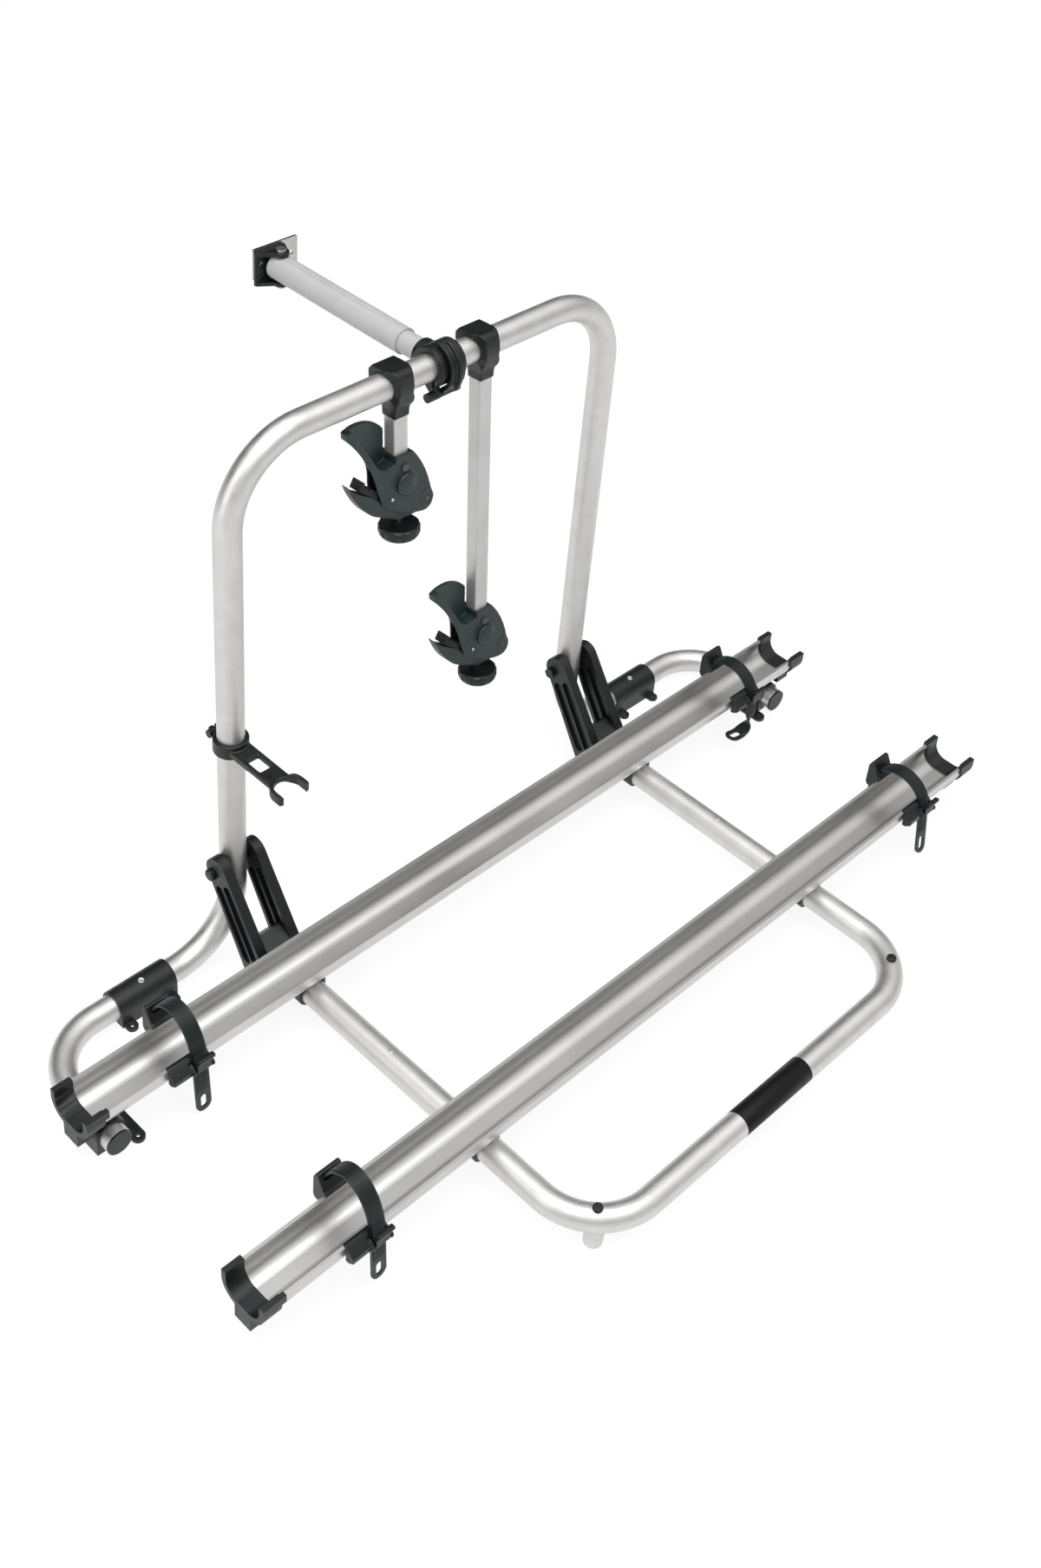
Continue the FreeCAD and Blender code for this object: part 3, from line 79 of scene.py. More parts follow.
# Slot in a strap's end, and the points along each side and half round of the slot and the end
SLOT_HALF = 4.5 * MM
SLOT_LEN = 11.0 * MM
SLOT_PAST = 0.5 * MM           # the slot's outer round starts this far past the strap's own
LOOP_SIDES = 6
LOOP_ROUNDS = 14

# Hanging tails: length, lean in degrees at the start and end, and curl to the left in degrees
TAIL = {"rear_left": (64 * MM, 4, 4, 0), "rear_right": (78 * MM, 8, 8, 104),
        "front_left": (54 * MM, 4, 4, 0), "front_right": (58 * MM, 6, 18, 12)}
TAIL_STEPS = 24

# Share of the curl at a part of a tail's length: that part times the pace, less the wait, from 0 to 1
CURL_PACE = 1.25
CURL_WAIT = 0.15

# A tail that curls past this many degrees also twists, from a place before its end and over a length
TWIST_PAST = 90
TWIST = math.radians(80)
TWIST_FROM = 70 * MM
TWIST_OVER = 42 * MM

# Camera, in the frame's axes
CAMERA_AT = Vector((-1.416134, -1.252199, 1.984745))
CAMERA_RIGHT = Vector((0.70429173, -0.70598162, 0.07458626))
CAMERA_DOWN = Vector((-0.37670834, -0.46071037, -0.80363971))
CAMERA_AHEAD = Vector((0.60171752, 0.53789954, -0.59042367))
LENS_MM = 44.73
SENSOR_MM = 36.0
SHIFT_Y = -0.146
SIGHT = 60.0                   # how far the camera sees, in metres


class Nodes:
    """Short calls for building a node tree."""

    def __init__(self, tree):
        self.tree = tree

    def add(self, kind, **settings):
        node = self.tree.nodes.new(kind)
        for name, value in settings.items():
            setattr(node, name, value)
        return node

    def join(self, out, into):
        self.tree.links.new(out, into)

    def ramp(self, value, stops):
        node = self.add("ShaderNodeValToRGB")
        elements = node.color_ramp.elements
        while len(elements) < len(stops):
            elements.new(0.5)
        for element, (place, colour) in zip(elements, stops):
            element.position = place
            element.color = (*colour, 1.0)
        self.join(value, node.inputs["Fac"])
        return node.outputs["Color"]

    def noise(self, vector, scale, detail, roughness=0.5):
        node = self.add("ShaderNodeTexNoise")
        node.inputs["Scale"].default_value = scale
        node.inputs["Detail"].default_value = detail
        node.inputs["Roughness"].default_value = roughness
        self.join(vector, node.inputs["Vector"])
        return node.outputs["Fac"]

    def spread(self, value, low, high, start, stop):
        """The run from start to stop, spread over low to high and held at both ends."""
        node = self.add("ShaderNodeMapRange")
        for name, number in (("From Min", start), ("From Max", stop), ("To Min", low), ("To Max", high)):
            node.inputs[name].default_value = number
        self.join(value, node.inputs["Value"])
        return node.outputs["Result"]

    def stretch(self, vector, scales):
        node = self.add("ShaderNodeMapping")
        node.inputs["Scale"].default_value = scales
        self.join(vector, node.inputs["Vector"])
        return node.outputs["Vector"]

    def math(self, kind, a, b):
        node = self.add("ShaderNodeMath", operation=kind)
        for socket, value in zip(node.inputs, (a, b)):
            if isinstance(value, (int, float)):
                socket.default_value = value
            else:
                self.join(value, socket)
        return node.outputs["Value"]

    def blend(self, a, b, share):
        """The share of b, which is a number or a socket, and the rest of a."""
        rest = 1 - share if isinstance(share, float) else self.math("SUBTRACT", 1.0, share)
        return self.math("ADD", self.math("MULTIPLY", a, rest), self.math("MULTIPLY", b, share))


# Tints of the materials, as factors for red, green and blue
PLAIN = (1.0, 1.0, 1.0)
TEAL = (0.50, 1.10, 1.12)
WARM = (1.0, 0.99, 0.965)

# Noise in the materials
CLOUD_EDGES = (0.3, 0.7)       # the run of the cloud noise in which colour and roughness change
CLOUD_DETAIL = 4.0
PATCH_SCALE = 2.3              # roughness patches, against the colour's clouds
PATCH_DETAIL = 3.0
GRAIN_DETAIL = 2.0
GRAIN_ROUGHNESS = 0.6
STREAK_SHARE = 0.6             # part of the streaks in roughness and grain
STREAK_DETAIL = 3.0
STREAK_ROUGHNESS = 0.7
RELIEF_DEPTH = 0.3 * MM

looks = {}


def grey(value, tint=PLAIN):
    return tuple(value * part for part in tint)


def surface(name, shades, rough, tint=PLAIN, metallic=0.0, grain=1500, bump=0.20, clouds=40, streaks=None,
            see_through=0.0, specular=0.5):
    """A material with cloudy colour, uneven roughness, fine grain and, where asked, streaks.

    Shades and rough are pairs, low and high. Grain, clouds and streaks are noise scales, and the streaks run
    along the axis whose scale is the smallest. The transmission weight is see_through.
    """
    material = bpy.data.materials.new(name)
    material.use_nodes = True
    nodes = Nodes(material.node_tree)
    shader = material.node_tree.nodes["Principled BSDF"]
    shader.inputs["Metallic"].default_value = metallic
    shader.inputs["Transmission Weight"].default_value = see_through
    shader.inputs["Specular IOR Level"].default_value = specular
    place = nodes.add("ShaderNodeTexCoord").outputs["Object"]
    cloud = nodes.noise(place, clouds, CLOUD_DETAIL)
    stops = [(edge, grey(shade, tint)) for edge, shade in zip(CLOUD_EDGES, shades)]
    nodes.join(nodes.ramp(cloud, stops), shader.inputs["Base Color"])
    fine = nodes.noise(place, grain, GRAIN_DETAIL, GRAIN_ROUGHNESS)
    patch = nodes.noise(place, clouds * PATCH_SCALE, PATCH_DETAIL)
    if streaks:
        lines = nodes.noise(nodes.stretch(place, streaks), 1.0, STREAK_DETAIL, STREAK_ROUGHNESS)
        patch = nodes.blend(patch, lines, STREAK_SHARE)
        fine = nodes.blend(fine, lines, STREAK_SHARE)
    nodes.join(nodes.spread(patch, *rough, *CLOUD_EDGES), shader.inputs["Roughness"])
    relief = nodes.add("ShaderNodeBump")
    relief.inputs["Strength"].default_value = bump
    relief.inputs["Distance"].default_value = RELIEF_DEPTH
    nodes.join(fine, relief.inputs["Height"])
    nodes.join(relief.outputs["Normal"], shader.inputs["Normal"])
    looks[name] = material


surface("anodised", (0.64, 0.70), (0.42, 0.50), tint=WARM, metallic=1.0, bump=0.05)
surface("rail_metal", (0.56, 0.62), (0.34, 0.40), tint=WARM, metallic=1.0, grain=1800, bump=0.01, clouds=12,
        streaks=(1.5, 300.0, 300.0))
surface("arm_metal", (0.58, 0.63), (0.50, 0.56), tint=WARM, metallic=0.75, grain=1800, bump=0.02, clouds=30,
        streaks=(300.0, 300.0, 2.0))
surface("strut_metal", (0.60, 0.66), (0.52, 0.62), grain=1400, bump=0.06, see_through=0.35)
surface("steel", (0.50, 0.62), (0.18, 0.30), tint=WARM, metallic=1.0, grain=1600, bump=0.06, clouds=60,
        streaks=(900.0, 900.0, 12.0))
surface("dull_pin", (0.060, 0.090), (0.40, 0.50), metallic=0.4, grain=1600, bump=0.10, clouds=120)
surface("zinc", (0.52, 0.64), (0.25, 0.38), metallic=1.0, grain=1600, bump=0.10, clouds=120)
surface("dark_plastic", (0.0035, 0.007), (0.38, 0.50), tint=TEAL, see_through=0.13)
surface("claw_plastic", (0.022, 0.034), (0.38, 0.50), tint=TEAL, grain=1400, see_through=0.26)
surface("strap_plastic", (0.008, 0.014), (0.38, 0.52), tint=TEAL, see_through=0.20)
surface("soft_pad", (0.003, 0.006), (0.60, 0.75), grain=1200, bump=0.30, see_through=0.20)
surface("pale_rubber", (0.72, 0.80), (0.35, 0.50), tint=WARM, grain=900, bump=0.10, clouds=60,
        see_through=0.25)
surface("black_bolt", (0.018, 0.030), (0.25, 0.40), metallic=0.6, bump=0.10, clouds=150)
surface("band", (0.003, 0.005), (0.40, 0.50), bump=0.04, specular=0.20)

# The start of a node's name and its look; all other nodes are of dark plastic
LOOK_OF = (
    ("hoop_frame", "anodised"), ("foot_tube", "anodised"), ("platform_frame", "anodised"),
    ("wheel_rail", "rail_metal"), ("arm_tube", "arm_metal"), ("strut_tube", "strut_metal"),
    ("wall_plate", "steel"), ("wall_bolt", "zinc"), ("claw_pins", "dull_pin"), ("claw_spindle", "zinc"),
    ("claw_body", "claw_plastic"), ("claw_jaw", "claw_plastic"), ("jaw_pad", "soft_pad"),
    ("platform_feet", "pale_rubber"), ("fork_screws", "black_bolt"), ("rail_bolts", "black_bolt"),
    ("strap_rear", "strap_plastic"), ("strap_front", "strap_plastic"),
)


def look_for(node):
    for start, look in LOOK_OF:
        if node.startswith(start):
            return looks[look]
    return looks["dark_plastic"]


# Edges: moulded pieces are built again from cells of this size and smoothed, the others get a small bevel
MOULDED = {"claw_body": 0.8 * MM, "claw_jaw": 0.8 * MM, "arm_clamp": 0.8 * MM, "strut_clamp": 0.8 * MM,
           "strut_lever": 0.7 * MM, "strap_anchors": 0.8 * MM, "strap_buckles": 0.7 * MM,
           "strap_lever": 0.6 * MM, "platform_clip": 0.8 * MM}
WELD_REACH = 0.01 * MM
MELT_STEPS = 13
MELT_FACTOR = 0.5
BEVEL_WIDTH = 0.6 * MM
BEVEL_STEPS = 2
BEVEL_ANGLE = math.radians(38)


def soften_edges(node, thing):
    weld = thing.modifiers.new("weld", "WELD")
    weld.merge_threshold = WELD_REACH
    for start, cell in MOULDED.items():
        if node.startswith(start):
            remesh = thing.modifiers.new("even", "REMESH")
            remesh.mode = "VOXEL"
            remesh.voxel_size = cell
            remesh.use_smooth_shade = True
            melt = thing.modifiers.new("melt", "SMOOTH")
            melt.factor = MELT_FACTOR
            melt.iterations = MELT_STEPS
            return
    soften = thing.modifiers.new("soften", "BEVEL")
    soften.width = BEVEL_WIDTH
    soften.segments = BEVEL_STEPS
    soften.limit_method = "ANGLE"
    soften.angle_limit = BEVEL_ANGLE
    soften.use_clamp_overlap = True
    steady = thing.modifiers.new("steady", "WEIGHTED_NORMAL")
    steady.keep_sharp = True


def dress(node, thing):
    """Give a node, or a copy of it, the node's material and softer edges."""
    thing.data.materials.clear()
    thing.data.materials.append(look_for(node))
    soften_edges(node, thing)


for name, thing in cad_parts.items():
    dress(name, thing)


def stand(name, data):
    """A new object in the scene."""
    thing = bpy.data.objects.new(name, data)
    bpy.context.scene.collection.objects.link(thing)
    return thing


def piece(name, mesh_data, look, body, slot):
    thing = stand(name, mesh_data)
    mesh_data.materials.append(looks[look])
    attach(thing, body)
    return thing


MERGE_REACH = 0.001 * MM


def mesh_of(name, verts, faces, smooth=True):
    data = bpy.data.meshes.new(name)
    data.from_pydata([tuple(v) for v in verts], [], faces)
    grid = bmesh.new()
    grid.from_mesh(data)
    bmesh.ops.remove_doubles(grid, verts=grid.verts, dist=MERGE_REACH)
    bmesh.ops.dissolve_degenerate(grid, edges=grid.edges, dist=MERGE_REACH)
    bmesh.ops.recalc_face_normals(grid, faces=grid.faces)
    grid.to_mesh(data)
    grid.free()
    for face in data.polygons:
        face.use_smooth = smooth
    return data


def lathe(profile, turn, steps):
    """Vertices and faces of a closed profile of (radius, height) points turned about the matrix's local Z."""
    verts = []
    faces = []
    count = len(profile)
    for i in range(steps):
        angle = 2 * math.pi * i / steps
        for radius, height in profile:
            verts.append(turn @ Vector((radius * math.cos(angle), radius * math.sin(angle), height)))
    for i in range(steps):
        for j in range(count):
            k = (j + 1) % count
            n = (i + 1) % steps
            faces.append((i * count + j, n * count + j, n * count + k, i * count + k))
    return verts, faces


def aimed(at, direction):
    """A matrix whose local Z points along the direction from the place."""
    turn = Vector(direction).normalized().to_track_quat("Z", "Y").to_matrix().to_4x4()
    return Matrix.Translation(Vector(at)) @ turn


def clip01(value):
    return min(max(value, 0.0), 1.0)


def smooth01(value):
    value = clip01(value)
    return value * value * (3 - 2 * value)


class Path:
    """A run of points, measured along its length. Where twists is set, a strip on it turns near its end."""

    def __init__(self, points, twists):
        self.points = [Vector(p) for p in points]
        self.twists = twists
        self.reach = [0.0]
        for a, b in zip(self.points, self.points[1:]):
            self.reach.append(self.reach[-1] + (b - a).length)
        self.length = self.reach[-1]

    def at(self, s):
        i = min(max(bisect.bisect(self.reach, s) - 1, 0), len(self.points) - 2)
        ahead = (self.points[i + 1] - self.points[i]).normalized()
        return self.points[i] + ahead * (s - self.reach[i]), ahead

    def place(self, s, across, out):
        """A point of a flat strip along the path: across its width and out of its face."""
        spot, ahead = self.at(s)
        twist = TWIST * smooth01((s - self.length + TWIST_FROM) / TWIST_OVER) if self.twists else 0.0
        width = Vector((math.cos(twist), math.sin(twist), 0))
        side = (width - ahead * ahead.dot(width)).normalized()
        return spot + side * across + ahead.cross(side) * out


def strap_path(rail, side):
    """The middle line of a strap, with its arch as half an ellipse."""
    tail_len, lean_from, lean_to, curl = TAIL[rail + "_" + side]
    middle = (STRAP_BACK - STRAP_FRONT) / 2
    reach = (STRAP_BACK + STRAP_FRONT) / 2
    low = RIM_Z - STRAP_SHOULDER
    points = [(0, STRAP_BACK, low - drop) for drop in STRAP_ROOT]
    for i in range(ARCH_STEPS + 1):
        angle = math.pi * i / ARCH_STEPS
        rise = ARCH[rail + "_" + side] * math.sin(angle)
        points.append((0, middle + reach * math.cos(angle), low + rise))
    spot = Vector((0, -STRAP_FRONT, low))
    step = (tail_len + STRAP_HALF_W) / TAIL_STEPS
    for i in range(TAIL_STEPS):
        part = (i + 1) / TAIL_STEPS
        lean = math.radians(lean_from + (lean_to - lean_from) * part)
        aside = math.radians(curl) * smooth01(part * CURL_PACE - CURL_WAIT)
        ahead = -math.sin(lean) * math.cos(aside)
        down = -math.cos(lean) * math.cos(aside)
        spot += step * Vector((-math.sin(aside), ahead, down))
        points.append(tuple(spot))
    at = Vector((STRAP_X[side], RAIL_Y[rail], 0))
    return Path([at + Vector(p) for p in points], curl > TWIST_PAST)


def ribbed_run(path, stop):
    """Strip with raised cross ribs on its outer face, plain along both edges."""
    half_t = STRAP_T / 2
    inner = STRAP_HALF_W - STRAP_EDGE
    stations = []
    count = int(stop / RIB_PITCH)
    for i in range(count):
        for part, rise in RIB_PROFILE:
            stations.append(((i + part) * stop / count, rise * RIB_H))
    stations.append((stop, RIB_FOOT * RIB_H))
    verts = []
    for s, rise in stations:
        section = ((-STRAP_HALF_W, -half_t), (-STRAP_HALF_W, half_t), (-inner, half_t),
                   (-inner, half_t + rise), (inner, half_t + rise), (inner, half_t),
                   (STRAP_HALF_W, half_t), (STRAP_HALF_W, -half_t))
        for across, out in section:
            verts.append(path.place(s, across, out))
    around = len(section)
    faces = []
    for i in range(len(stations) - 1):
        here = i * around
        there = here + around
        for j in range(around):
            k = (j + 1) % around
            faces.append((here + j, here + k, there + k, there + j))
    last = (len(stations) - 1) * around
    faces.append(tuple(range(around)))
    faces.append(tuple(last + j for j in range(around)))
    return verts, faces


def loop_of(corner_s, round_s, half, round_back):
    """A loop round a strip's end: along one edge, round the tip, back along the other and across."""
    loop = []
    for i in range(LOOP_SIDES):
        loop.append((corner_s + (round_s - corner_s) * i / LOOP_SIDES, -half))
    for i in range(LOOP_ROUNDS):
        angle = math.pi * i / LOOP_ROUNDS
        loop.append((round_s + half * math.sin(angle), -half * math.cos(angle)))
    for i in range(LOOP_SIDES):
        loop.append((round_s + (corner_s - round_s) * i / LOOP_SIDES, half))
    for i in range(LOOP_ROUNDS):
        angle = math.pi * i / LOOP_ROUNDS
        back = half * math.sin(angle) if round_back else 0.0
        loop.append((corner_s - back, half * math.cos(angle)))
    return loop


def slotted_end(path, start):
    """The strap's rounded end with its long slot."""
    tip = path.length - STRAP_HALF_W
    outer = loop_of(start, tip, STRAP_HALF_W, False)
    slot = loop_of(tip - SLOT_LEN, tip + SLOT_PAST, SLOT_HALF, True)
    rings = ((outer, STRAP_T / 2), (slot, STRAP_T / 2), (slot, -STRAP_T / 2), (outer, -STRAP_T / 2))
    count = len(outer)
    verts = []
    for loop, out in rings:
        for s, across in loop:
            verts.append(path.place(s, across, out))
    faces = []
    for ring in range(len(rings)):
        upper = ring * count
        lower = (ring + 1) % len(rings) * count
        for i in range(count):
            k = (i + 1) % count
            faces.append((upper + i, upper + k, lower + k, lower + i))
    return verts, faces


def ribbed_strap(rail, side):
    path = strap_path(rail, side)
    start = path.length - STRAP_END
    verts, faces = ribbed_run(path, start + STRAP_LAP)
    more, more_faces = slotted_end(path, start)
    faces += [tuple(len(verts) + i for i in face) for face in more_faces]
    name = "ribbed_strap_" + rail + "_" + side
    data = mesh_of(name, verts + more, faces, False)
    thing = piece(name, data, "strap_plastic", "rail_" + rail, "strap_plastic")
    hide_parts("strap_" + rail + "_" + side)


# Heads of screws and rivets, in millimetres and as parts of a head's height
HEAD_SINK = 1.0                # depth below the face they sit on
DOME_EDGE = 0.35               # a dome's straight edge
DOME_STEPS = 6
HEAD_EDGE = 0.7                # a socket head's straight edge
HEAD_CHAMFER = 0.5
SOCKET_CHAMFER = 0.3
SOCKET_WALL = 0.3              # the socket's wall ends at this height
SOCKET_TIP = 0.2               # and its floor at this one
SOCKET_NARROW = 0.8            # the socket's floor, against its mouth


def domed(radius, height):
    """Profile of a domed head."""
    profile = [(0.0, -HEAD_SINK), (radius, -HEAD_SINK), (radius, height * DOME_EDGE)]
    for i in range(1, DOME_STEPS + 1):
        angle = math.pi / 2 * i / DOME_STEPS
        rise = DOME_EDGE + (1 - DOME_EDGE) * math.sin(angle)
        profile.append((radius * math.cos(angle), height * rise))
    return profile


def socket_head(radius, height, hole):
    """Profile of a screw head with a round socket in its middle."""
    return [(0.0, -HEAD_SINK), (radius, -HEAD_SINK), (radius, height * HEAD_EDGE),
            (radius - HEAD_CHAMFER, height), (hole + SOCKET_CHAMFER, height), (hole, height - SOCKET_CHAMFER),
            (hole * SOCKET_NARROW, height * SOCKET_WALL), (0.0, height * SOCKET_TIP)]


# Each kind of head: its profile in millimetres, its look and its steps round
HEADS = {
    "sleeve_screw": (socket_head(4.2, 0.9, 1.8), "zinc", 32),
    "claw_boss": (domed(15.5, 7.0), "claw_plastic", 48),
    "claw_rivet": (domed(2.4, 1.2), "zinc", 32),
    "platform_rivet": (domed(3.2, 0.5), "anodised", 32),
}


def head(kind, name, at, towards, body):
    """A small turned piece at a place in metres, facing the way that towards says."""
    profile, look, steps = HEADS[kind]
    full_name = kind + "_" + name
    verts, faces = lathe([(r * MM, h * MM) for r, h in profile], aimed(at, towards), steps)
    piece(full_name, mesh_of(full_name, verts, faces), look, body, look)


SIDES = (("left", -1), ("right", 1))

# Sleeve screws: place, and the lean of their axes to the front
SLEEVE_X = 465.0 * MM
SLEEVE_SCREW_Y = HOOP_Y - 3 * MM
SLEEVE_SCREW_Z = BASE_Z + 20.9 * MM
SLEEVE_SCREW_AIM = (0, -0.14, 1)


def sleeve_screws():
    for name, side in SIDES:
        at = (side * SLEEVE_X, SLEEVE_SCREW_Y, SLEEVE_SCREW_Z)
        head("sleeve_screw", name, at, SLEEVE_SCREW_AIM, "frame")


RIVET_Y = -128.0 * MM


def platform_rivets():
    """Small flush rivets on top of the platform's side tubes."""
    for name, side in SIDES:
        at = (side * HOOP_HALF, RIVET_Y, DECK_Z + TUBE_R)
        head("platform_rivet", name, at, (0, 0, 1), "platform")


def on_arm(name, x, y, z):
    """A place on a bike arm from its tube's visible lower end, with the arm's lean."""
    z -= ARM_DROP[name]
    return Vector((ARM_X[name] + x, HOOP_Y + y * math.cos(ARM_LEAN) + z * math.sin(ARM_LEAN),
                   TOP_Z - y * math.sin(ARM_LEAN) + z * math.cos(ARM_LEAN)))


def off_arm(name, spot):
    """The way back from on_arm: a place in the arm's own axes, measured from its tube's visible lower end."""
    y = spot.y - HOOP_Y
    z = spot.z - TOP_Z
    return Vector((spot.x - ARM_X[name], y * math.cos(ARM_LEAN) - z * math.sin(ARM_LEAN),
                   y * math.sin(ARM_LEAN) + z * math.cos(ARM_LEAN) + ARM_DROP[name]))


# Claw's fixed half, in millimetres. Right of its edge the hub is drawn in. Left of its root the beak's back
# face is drawn forward, most of all at the tip, and bows in.
HUB_EDGE = 12
HUB_SCALE = 0.76
BEAK_ROOT = -14
BEAK_LEN = 70
BEAK_HALF = 15.5               # front and back faces at the root
BEAK_TAPER = 6.1               # how far the solid's front face draws back by the tip
BEAK_SLIM = 12                 # how far the back face is drawn forward by the tip
BOW_LOW = -45
BOW_HEIGHT = 100
BOW_DEPTH = 9
BOW_PACE = 2                   # the bow is complete at half the beak's length


def draw_in_hub(x):
    return HUB_EDGE + (x - HUB_EDGE) * HUB_SCALE


def claw_shape(x, y, z):
    """Moulded form of the claw's fixed half: a slimmer beak and a tighter hub."""
    if x > HUB_EDGE:
        return draw_in_hub(x), y, z
    if x > BEAK_ROOT:
        return x, y, z
    out = (BEAK_ROOT - x) / BEAK_LEN
    front = -BEAK_HALF + BEAK_TAPER * out
    back = clip01((y - front) / (BEAK_HALF - front))
    bow = math.sin(math.pi * clip01((z - BOW_LOW) / BOW_HEIGHT))
    return x + BOW_DEPTH * back * bow * clip01(out * BOW_PACE), y - BEAK_SLIM * out * back, z


# Claw's moving half, in millimetres: where its tip and belly start, over what length, and how far they move
TIP_FROM = -40
TIP_LEN = 53
TIP_IN = 10.2
TIP_DROP = 12.1
TIP_SLIM = 0.35                # part of its width that the tip loses
BELLY_FROM = -60
BELLY_HEIGHT = 30
BELLY_LIFT = 5.5


def jaw_shape(x, y, z):
    """Moulded form of the moving half: a shorter tip and a shallower belly."""
    if x > HUB_EDGE:
        x = draw_in_hub(x)
    tip = clip01((TIP_FROM - x) / TIP_LEN)
    belly = smooth01((BELLY_FROM - z) / BELLY_HEIGHT)
    return x + TIP_IN * tip, y * (1 - TIP_SLIM * tip), z - TIP_DROP * tip + BELLY_LIFT * belly


# Jaw's pad, in millimetres: how far all of it moves, and how much further its tip does
PAD_FROM = -41
PAD_LEN = 43
PAD_IN = 4
PAD_TIP_IN = 12.5
PAD_DROP = 4
PAD_TIP_DROP = 8.4
PAD_WIDTH = 0.92


def pad_shape(x, y, z):
    """Form of the jaw's pad: drawn in and down with the jaw, most of all at the tip."""
    tip = clip01((PAD_FROM - x) / PAD_LEN)
    return x + PAD_IN + PAD_TIP_IN * tip, y * PAD_WIDTH, z - PAD_DROP - PAD_TIP_DROP * tip


# Arm's clamp, in millimetres from the bar's axis: a neck that is slimmer below and a top that is set aside
NECK_FROM = -24
NECK_HEIGHT = 12
NECK_SLIM = 0.10
CROWN_FROM = -20
CROWN_HEIGHT = 16
CROWN_ASIDE = 4.5


def clamp_shape(x, y, z):
    """Moulded form of the arm's clamp: a slim neck below and a top set to the left."""
    neck = smooth01((NECK_FROM - z) / NECK_HEIGHT)
    crown = smooth01((z - CROWN_FROM) / CROWN_HEIGHT)
    return x * (1 - NECK_SLIM * neck) - CROWN_ASIDE * crown, y * (1 - NECK_SLIM * neck), z


# Platform's clip: its middle, its arm and the window in it
CLIP_MIDDLE_Y = HOOP_Y - 55.0 * MM
CLIP_Z = 360.0 * MM
CLIP_ARM_TOP = 7.5 * MM
CLIP_ARM_HALF = 44 * MM        # the arm is thin up to here from its middle
CLIP_ARM_EASE = 8 * MM         # and gets thin over this length
CLIP_ARM_THIN = 0.5            # part of its height that it loses
CLIP_WINDOW = 8.0 * MM
CLIP_WINDOW_WIDER = 1.20
CLIP_WINDOW_LONGER = 1.73


def clip_shape(spot):
    """Moulded form of the platform's clip: a thin arm with a wide window."""
    across = spot.x + HOOP_HALF
    along = spot.y - CLIP_MIDDLE_Y
    height = spot.z - CLIP_Z
    thin = smooth01((CLIP_ARM_HALF - abs(along)) / CLIP_ARM_EASE)
    if abs(across) < CLIP_WINDOW and abs(along) < CLIP_WINDOW:
        across *= CLIP_WINDOW_WIDER
        along *= CLIP_WINDOW_LONGER
    if abs(height) < CLIP_ARM_TOP:
        height *= 1 - CLIP_ARM_THIN * thin
    return Vector((across - HOOP_HALF, CLIP_MIDDLE_Y + along, CLIP_Z + height))


def on_claw(name, shape, from_bar=False):
    """The shape as a move of a place in the frame's axes, taken from the arm's lower end or from the bar."""
    drop = ARM_DROP[name] if from_bar else 0.0

    def move(place):
        spot = off_arm(name, place)
        x, y, z = shape(spot.x / MM, spot.y / MM, (spot.z - drop) / MM)
        return on_arm(name, x * MM, y * MM, z * MM + drop)

    return move


def reshaped(node, move, body):
    """A copy of a node with its points moved, which stands in for the node."""
    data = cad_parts[node].data.copy()
    data.name = "moulded_" + node
    for vertex in data.vertices:
        vertex.co = move(vertex.co)
    thing = stand("moulded_" + node, data)
    dress(node, thing)
    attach(thing, body)
    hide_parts(node)


def moulded_arm(name):
    arm = "arm_" + name
    jaw = "jaw_" + name
    reshaped("claw_body_" + name, on_claw(name, claw_shape), arm)
    reshaped("claw_pins_" + name, on_claw(name, claw_shape), arm)
    reshaped("claw_jaw_" + name, on_claw(name, jaw_shape), jaw)
    reshaped("jaw_pad_" + name, on_claw(name, pad_shape), jaw)
    reshaped("arm_clamp_" + name, on_claw(name, clamp_shape, True), arm)


# Places on a claw's front face, from the arm tube's visible lower end
BOSS_AT = (1 * MM, -17 * MM, -34 * MM)
CLAW_RIVET_AT = (-20 * MM, -15.5 * MM, -50 * MM)


def claw_details(name):
    front = Vector((0, -math.cos(ARM_LEAN), math.sin(ARM_LEAN)))
    head("claw_boss", name, on_arm(name, *BOSS_AT), front, "arm_" + name)
    head("claw_rivet", name, on_arm(name, *CLAW_RIVET_AT), front, "arm_" + name)


# Band round the front bar: place of its middle, half length, and how far its faces stand off the tube
BAND_AT = (1 * MM, FRONT_Y, DECK_Z)
BAND_HALF = 63 * MM
BAND_OUT = 0.3 * MM
BAND_IN = 0.1 * MM
BAND_CHAMFER = 0.2 * MM        # along the tube
BAND_LIP = 0.1 * MM            # and into the band
BAND_STEPS = 72


def front_band():
    out = TUBE_R + BAND_OUT
    low = TUBE_R + BAND_IN
    profile = [(low, -BAND_HALF), (out - BAND_LIP, -BAND_HALF), (out, -BAND_HALF + BAND_CHAMFER),
               (out, BAND_HALF - BAND_CHAMFER), (out - BAND_LIP, BAND_HALF), (low, BAND_HALF)]
    verts, faces = lathe(profile, aimed(BAND_AT, (1, 0, 0)), BAND_STEPS)
    piece("front_band", mesh_of("front_band", verts, faces), "band", "platform", "dark_plastic")


front_band()
for rail_name in RAIL_Y:
    for strap_side in STRAP_X:
        ribbed_strap(rail_name, strap_side)
sleeve_screws()
for arm_name in ARM_X:
    moulded_arm(arm_name)
    claw_details(arm_name)
reshaped("platform_clip", clip_shape, "frame")
platform_rivets()


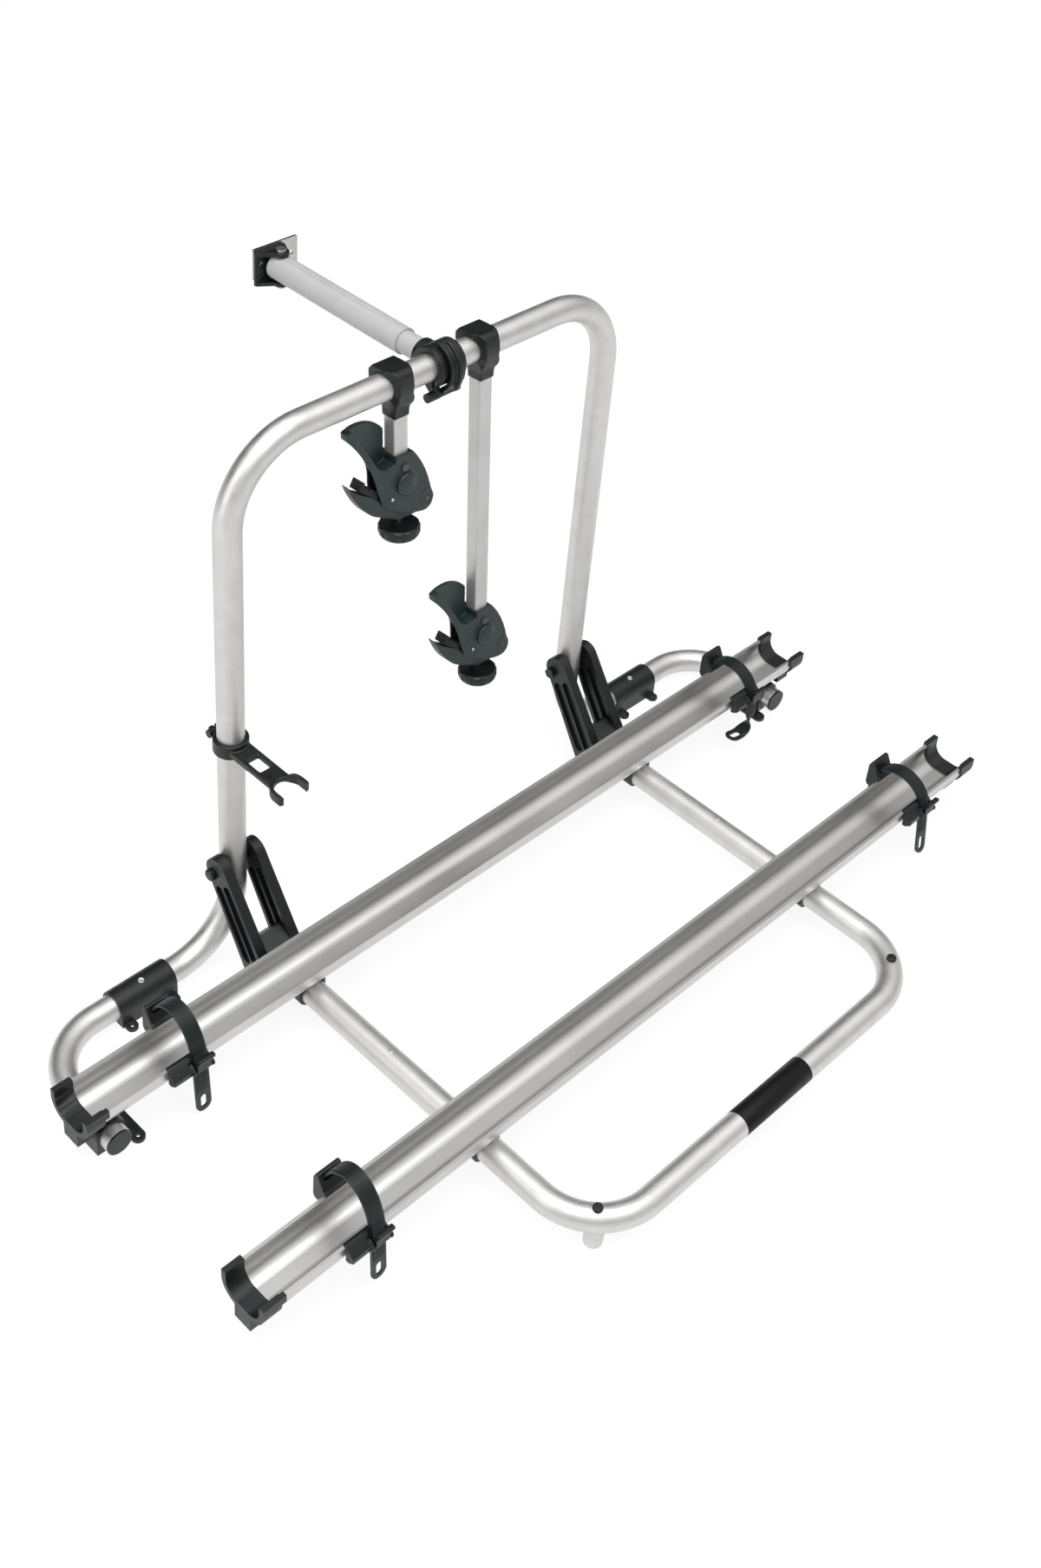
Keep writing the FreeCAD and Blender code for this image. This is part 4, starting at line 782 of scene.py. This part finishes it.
# Floor and room
WHITE = (1.0, 1.0, 1.0, 1.0)
FLOOR_REACH = 14.0
FLOOR_GREY = (0.80, 0.80, 0.80, 1.0)
FLOOR_GLOW = 1.09
GLOW_SHARE = 0.80              # part of the glow in what the camera or a reflection sees
ROOM_STRENGTH = 0.9
BEHIND_FULL = 0.50             # part of a direction along Y at which only the back's brightness is left

# Brightness of the room's front and back, from the horizon at 0 to straight up at 1
ROOM_FRONT = ((0.0, 0.55), (0.25, 0.50), (0.45, 0.62), (0.62, 1.05), (1.0, 1.35))
ROOM_BACK = ((0.0, 0.02), (0.35, 0.03), (0.58, 0.09), (0.78, 0.60), (1.0, 1.35))


def floor_look():
    """Pale floor: near white where the camera or a reflection looks at it, with the object's shadow kept."""
    material = bpy.data.materials.new("floor")
    material.use_nodes = True
    nodes = Nodes(material.node_tree)
    material.node_tree.nodes.clear()
    path = nodes.add("ShaderNodeLightPath")
    seen = nodes.math("MAXIMUM", path.outputs["Is Camera Ray"], path.outputs["Is Glossy Ray"])
    seen = nodes.math("MAXIMUM", seen, path.outputs["Is Transmission Ray"])
    matt = nodes.add("ShaderNodeBsdfDiffuse")
    matt.inputs["Color"].default_value = FLOOR_GREY
    glow = nodes.add("ShaderNodeEmission")
    glow.inputs["Color"].default_value = WHITE
    glow.inputs["Strength"].default_value = FLOOR_GLOW
    mix = nodes.add("ShaderNodeMixShader")
    out = nodes.add("ShaderNodeOutputMaterial")
    nodes.join(nodes.math("MULTIPLY", seen, GLOW_SHARE), mix.inputs["Fac"])
    nodes.join(matt.outputs["BSDF"], mix.inputs[1])
    nodes.join(glow.outputs["Emission"], mix.inputs[2])
    nodes.join(mix.outputs["Shader"], out.inputs["Surface"])
    return material


def floor():
    corners = [(-FLOOR_REACH, -FLOOR_REACH, 0), (FLOOR_REACH, -FLOOR_REACH, 0),
               (FLOOR_REACH, FLOOR_REACH, 0), (-FLOOR_REACH, FLOOR_REACH, 0)]
    data = mesh_of("floor", corners, [(0, 1, 2, 3)], False)
    data.materials.append(floor_look())
    thing = stand("floor", data)


def room_ramp(nodes, height, stops):
    return nodes.ramp(height, [(place, grey(brightness)) for place, brightness in stops])


def studio():
    """White to the camera, and to all else a soft room that is bright in front and above and dim behind."""
    world = bpy.data.worlds.new("studio")
    bpy.context.scene.world = world
    world.use_nodes = True
    nodes = Nodes(world.node_tree)
    world.node_tree.nodes.clear()
    spot = nodes.add("ShaderNodeTexCoord").outputs["Generated"]
    parts = nodes.add("ShaderNodeSeparateXYZ")
    nodes.join(spot, parts.inputs["Vector"])
    height = nodes.spread(parts.outputs["Z"], 0.0, 1.0, 0.0, 1.0)
    behind = nodes.spread(parts.outputs["Y"], 0.0, 1.0, 0.0, BEHIND_FULL)
    room = nodes.blend(room_ramp(nodes, height, ROOM_FRONT), room_ramp(nodes, height, ROOM_BACK), behind)
    path = nodes.add("ShaderNodeLightPath")
    inside = nodes.add("ShaderNodeBackground")
    nodes.join(room, inside.inputs["Color"])
    inside.inputs["Strength"].default_value = ROOM_STRENGTH
    white = nodes.add("ShaderNodeBackground")
    white.inputs["Color"].default_value = WHITE
    mix = nodes.add("ShaderNodeMixShader")
    out = nodes.add("ShaderNodeOutputWorld")
    nodes.join(path.outputs["Is Camera Ray"], mix.inputs["Fac"])
    nodes.join(inside.outputs["Background"], mix.inputs[1])
    nodes.join(white.outputs["Background"], mix.inputs[2])
    nodes.join(mix.outputs["Shader"], out.inputs["Surface"])


def lamp(name, at, towards, size, watts):
    data = bpy.data.lights.new(name, "AREA")
    data.shape = "RECTANGLE"
    data.size = size[0]
    data.size_y = size[1]
    data.energy = watts
    thing = stand(name, data)
    thing.location = at
    thing.rotation_euler = (Vector(towards) - Vector(at)).to_track_quat("-Z", "Y").to_euler()


def camera():
    data = bpy.data.cameras.new("camera")
    data.sensor_width = SENSOR_MM
    data.sensor_height = SENSOR_MM
    data.sensor_fit = "AUTO"
    data.lens = LENS_MM
    data.shift_y = SHIFT_Y
    data.clip_end = SIGHT
    thing = stand("camera", data)
    turn = Matrix((CAMERA_RIGHT, -CAMERA_DOWN, -CAMERA_AHEAD)).transposed().to_4x4()
    thing.matrix_world = Matrix.Translation(CAMERA_AT) @ turn
    bpy.context.scene.camera = thing


floor()
studio()
lamp("ceiling", at=(-0.6, -0.6, 3.2), towards=(0.0, 0.0, 0.3), size=(3.0, 2.4), watts=60)
lamp("left_fill", at=(-3.0, 0.6, 1.6), towards=(0.0, 0.0, 0.4), size=(1.6, 2.2), watts=22)
camera()
bpy.context.scene.view_settings.view_transform = "Standard"
